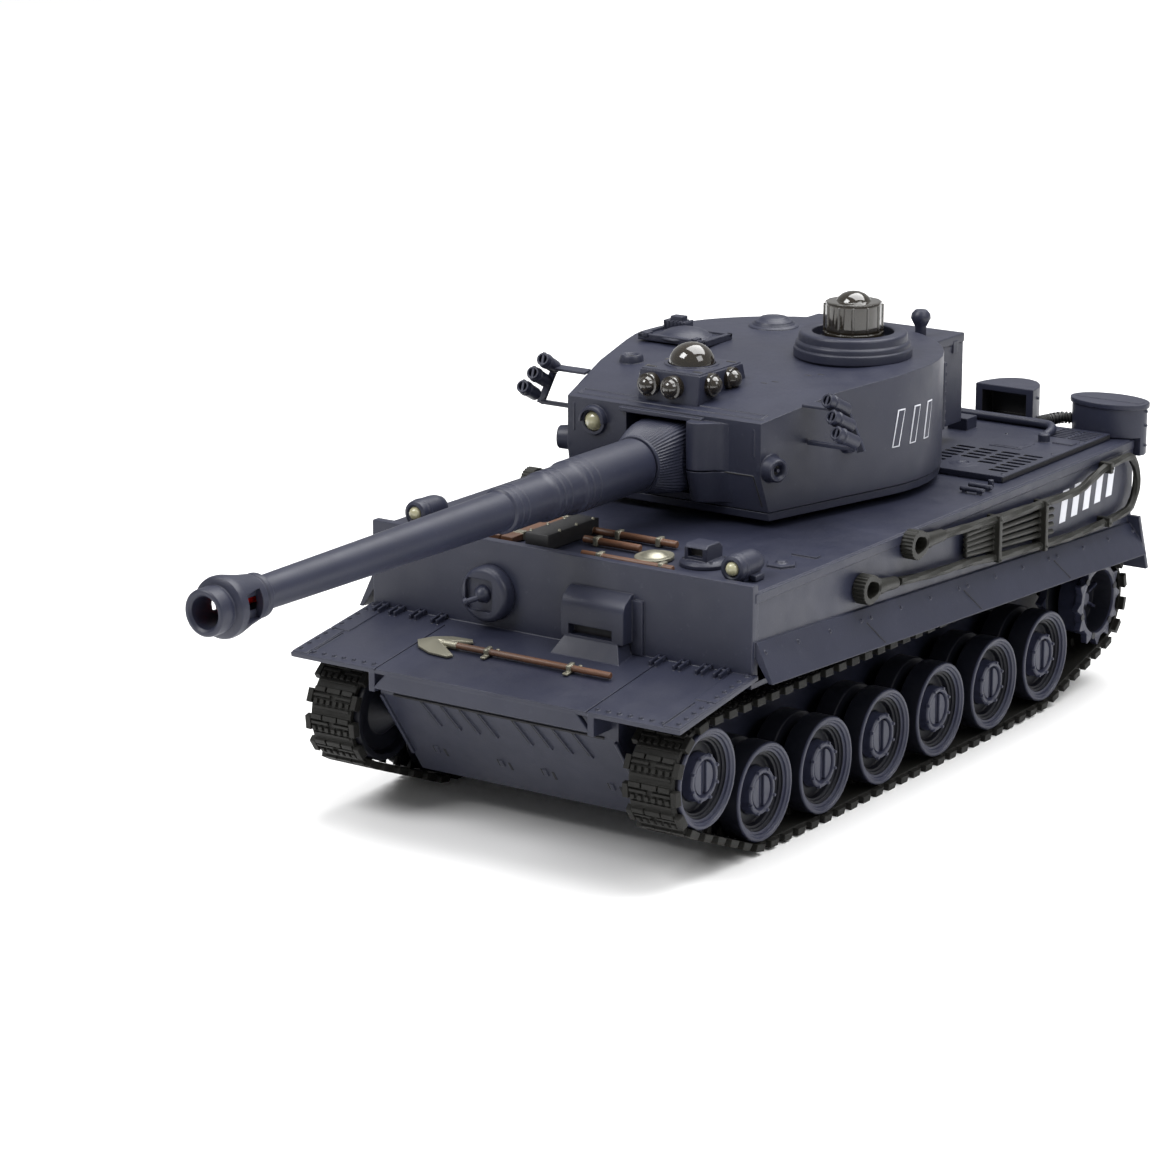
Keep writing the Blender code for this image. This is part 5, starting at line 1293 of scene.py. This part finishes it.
def make_gun():
    along = at(TURRET_X, PIVOT_Y, GUN_Z) @ TO_FRONT
    barrel = [(0, 161.8), (3.9, 161.8), (4.95, 72.4), (5.3, 72.2), (5.6, 71.8), (5.6, 70.4), (5.45, 70.2),
              (5.45, 69.6), (5.6, 69.4), (5.6, 67.8), (5.45, 67.6), (5.45, 67.0), (5.6, 66.8), (5.6, 57.0),
              (5.9, 55.4), (6.2, 55.0), (6.2, 53.8), (6.0, 53.5), (6.0, 52.9), (6.2, 52.6), (6.2, 51.0),
              (6.0, 50.7), (6.0, 50.1), (6.2, 49.8), (6.2, 45.4), (6.5, 44.4), (6.8, 44.0), (6.8, 42.6),
              (6.6, 42.3), (6.6, 41.7), (6.8, 41.4), (6.8, 39.6), (6.6, 39.3), (6.6, 38.7), (6.8, 38.4),
              (6.8, 15.4), (6.6, 14.9), (0, 14.9)]
    show("barrel_tube", "gun", ["gun_barrel"], turned(barrel, along, 56), ["hull"], 30.0)
    tip = PIVOT_Y - MUZZLE_TIP
    brake = turned([(0, tip - 5.4), (3.6, tip - 5.4), (3.7, tip - 0.6), (4.3, tip), (4.9, tip),
                    (5.3, tip - 0.3), (5.4, tip - 0.9), (5.4, tip - 3.6), (5.2, tip - 4.2), (5.3, tip - 4.6),
                    (6.2, tip - 4.8), (6.9, tip - 5.3), (7.1, tip - 6.2), (7.0, tip - 7.6), (6.7, tip - 8.8),
                    (5.9, tip - 12.2), (5.3, tip - 15.8), (4.9, tip - 16.0), (4.9, tip - 16.5),
                    (5.15, tip - 16.8), (5.15, tip - 18.1), (4.9, tip - 18.4), (0, tip - 18.4)], along, 64)
    cutters = [moved(box((side * 3.4, side * 9.0), (-3.3, 3.3), (tip - 13.6, tip - 7.3), 0), along)
               for side in (-1, 1)]
    bore = turned([(0, tip + 2), (3.7, tip + 2), (3.7, tip - 16.9), (0, tip - 16.9)], along, 40)
    show("muzzle_brake_bell", "gun", ["muzzle_brake"], carved(brake, bore, *cutters),
         ["hull"], 30.0)
    lens = turned([(0, tip - 5.6), (1.4, tip - 5.9), (2.4, tip - 6.8), (2.9, tip - 8.0), (2.9, tip - 11.6),
                   (1.5, tip - 12.2), (1.5, tip - 16.8), (0, tip - 16.8)], along, 32)
    show("muzzle_glow_lens", "gun", ["muzzle_lens"], lens, ["red"])


# ---------------------------------------------------------------- studio

def floor_material():
    """Matt white sweep with a very faint unevenness."""
    material = bpy.data.materials.new("floor_look")
    material.use_nodes = True
    tree = material.node_tree
    shader = tree.nodes["Principled BSDF"]
    shader.inputs["Roughness"].default_value = 0.35
    shader.inputs["Specular IOR Level"].default_value = 0.35
    noise = node_in(tree, "ShaderNodeTexNoise", (-500, 0), Scale=3.0, Detail=1.0)
    ramp = tree.nodes.new("ShaderNodeMix")
    ramp.data_type = "RGBA"
    ramp.inputs[6].default_value, ramp.inputs[7].default_value = (0.90, 0.90, 0.90, 1), (0.92, 0.92, 0.92, 1)
    tree.links.new(noise.outputs["Fac"], ramp.inputs[0])
    tree.links.new(ramp.outputs[2], shader.inputs["Base Color"])
    return material


# The photograph's camera: place in metres, tilt and turn in degrees, lens and sensor in millimetres
CAMERA_PLACE, CAMERA_TILT, CAMERA_TURN = (0.5303, -0.7885, 0.3129), 74.66, 34.62
LENS, SENSOR, FAR_CLIP = 120.96, 36.0, 50.0
FLOOR_HALF, WORLD_STRENGTH = 6.0, 0.42
LIGHT_TARGET = (0, 0.02, 0.05)
# name, place in metres, width in metres, watts
LIGHTS = (("key", (-0.8, -1.2, 1.7), 1.0, 36.0), ("fill", (1.5, -0.2, 1.2), 0.9, 12.0),
          ("top", (0.2, 0.6, 1.8), 1.8, 66.0))


def make_studio():
    scene = bpy.context.scene
    floor = bpy.data.objects.new("floor", bpy.data.meshes.new("floor"))
    half = FLOOR_HALF
    floor.data.from_pydata([(-half, -half, 0), (half, -half, 0), (half, half, 0), (-half, half, 0)], [],
                           [(0, 1, 2, 3)])
    scene.collection.objects.link(floor)
    floor.data.materials.append(floor_material())
    camera = bpy.data.objects.new("camera", bpy.data.cameras.new("camera"))
    scene.collection.objects.link(camera)
    camera.location = Vector(CAMERA_PLACE) + point(0, SHIFT_Y, 0)
    camera.rotation_euler = (radians(CAMERA_TILT), 0.0, radians(CAMERA_TURN))
    camera.data.lens, camera.data.sensor_width = LENS, SENSOR
    camera.data.clip_end = FAR_CLIP
    scene.camera = camera
    for name, place, size, power in LIGHTS:
        light = bpy.data.objects.new(name, bpy.data.lights.new(name, "AREA"))
        light.data.shape = "SQUARE"
        light.data.size = size
        light.data.energy = power
        light.location = place
        light.rotation_euler = (Vector(LIGHT_TARGET) - Vector(place)).to_track_quat("-Z", "Y").to_euler()
        scene.collection.objects.link(light)
    world = bpy.data.worlds.new("studio")
    world.use_nodes = True
    world.node_tree.nodes["Background"].inputs["Color"].default_value = (1, 1, 1, 1)
    world.node_tree.nodes["Background"].inputs["Strength"].default_value = WORLD_STRENGTH
    scene.world = world
    scene.view_settings.view_transform = "Standard"


dress_frame()
make_upper_hull()
make_lower_hull()
make_deck()
for side_label, side_sign in SIDES:
    make_headlight(side_label, side_sign)
    make_exhaust(side_label, side_sign)
    make_air_cleaner(side_label, side_sign)
    make_side_rack(side_label, side_sign)
    make_launcher(side_label, side_sign)
make_bow_gun()
make_shovel()
make_roof_tools()
make_periscope()
make_running_gear()
make_turret_shell()
make_roof_fittings()
make_mantlet()
make_gun()
make_studio()
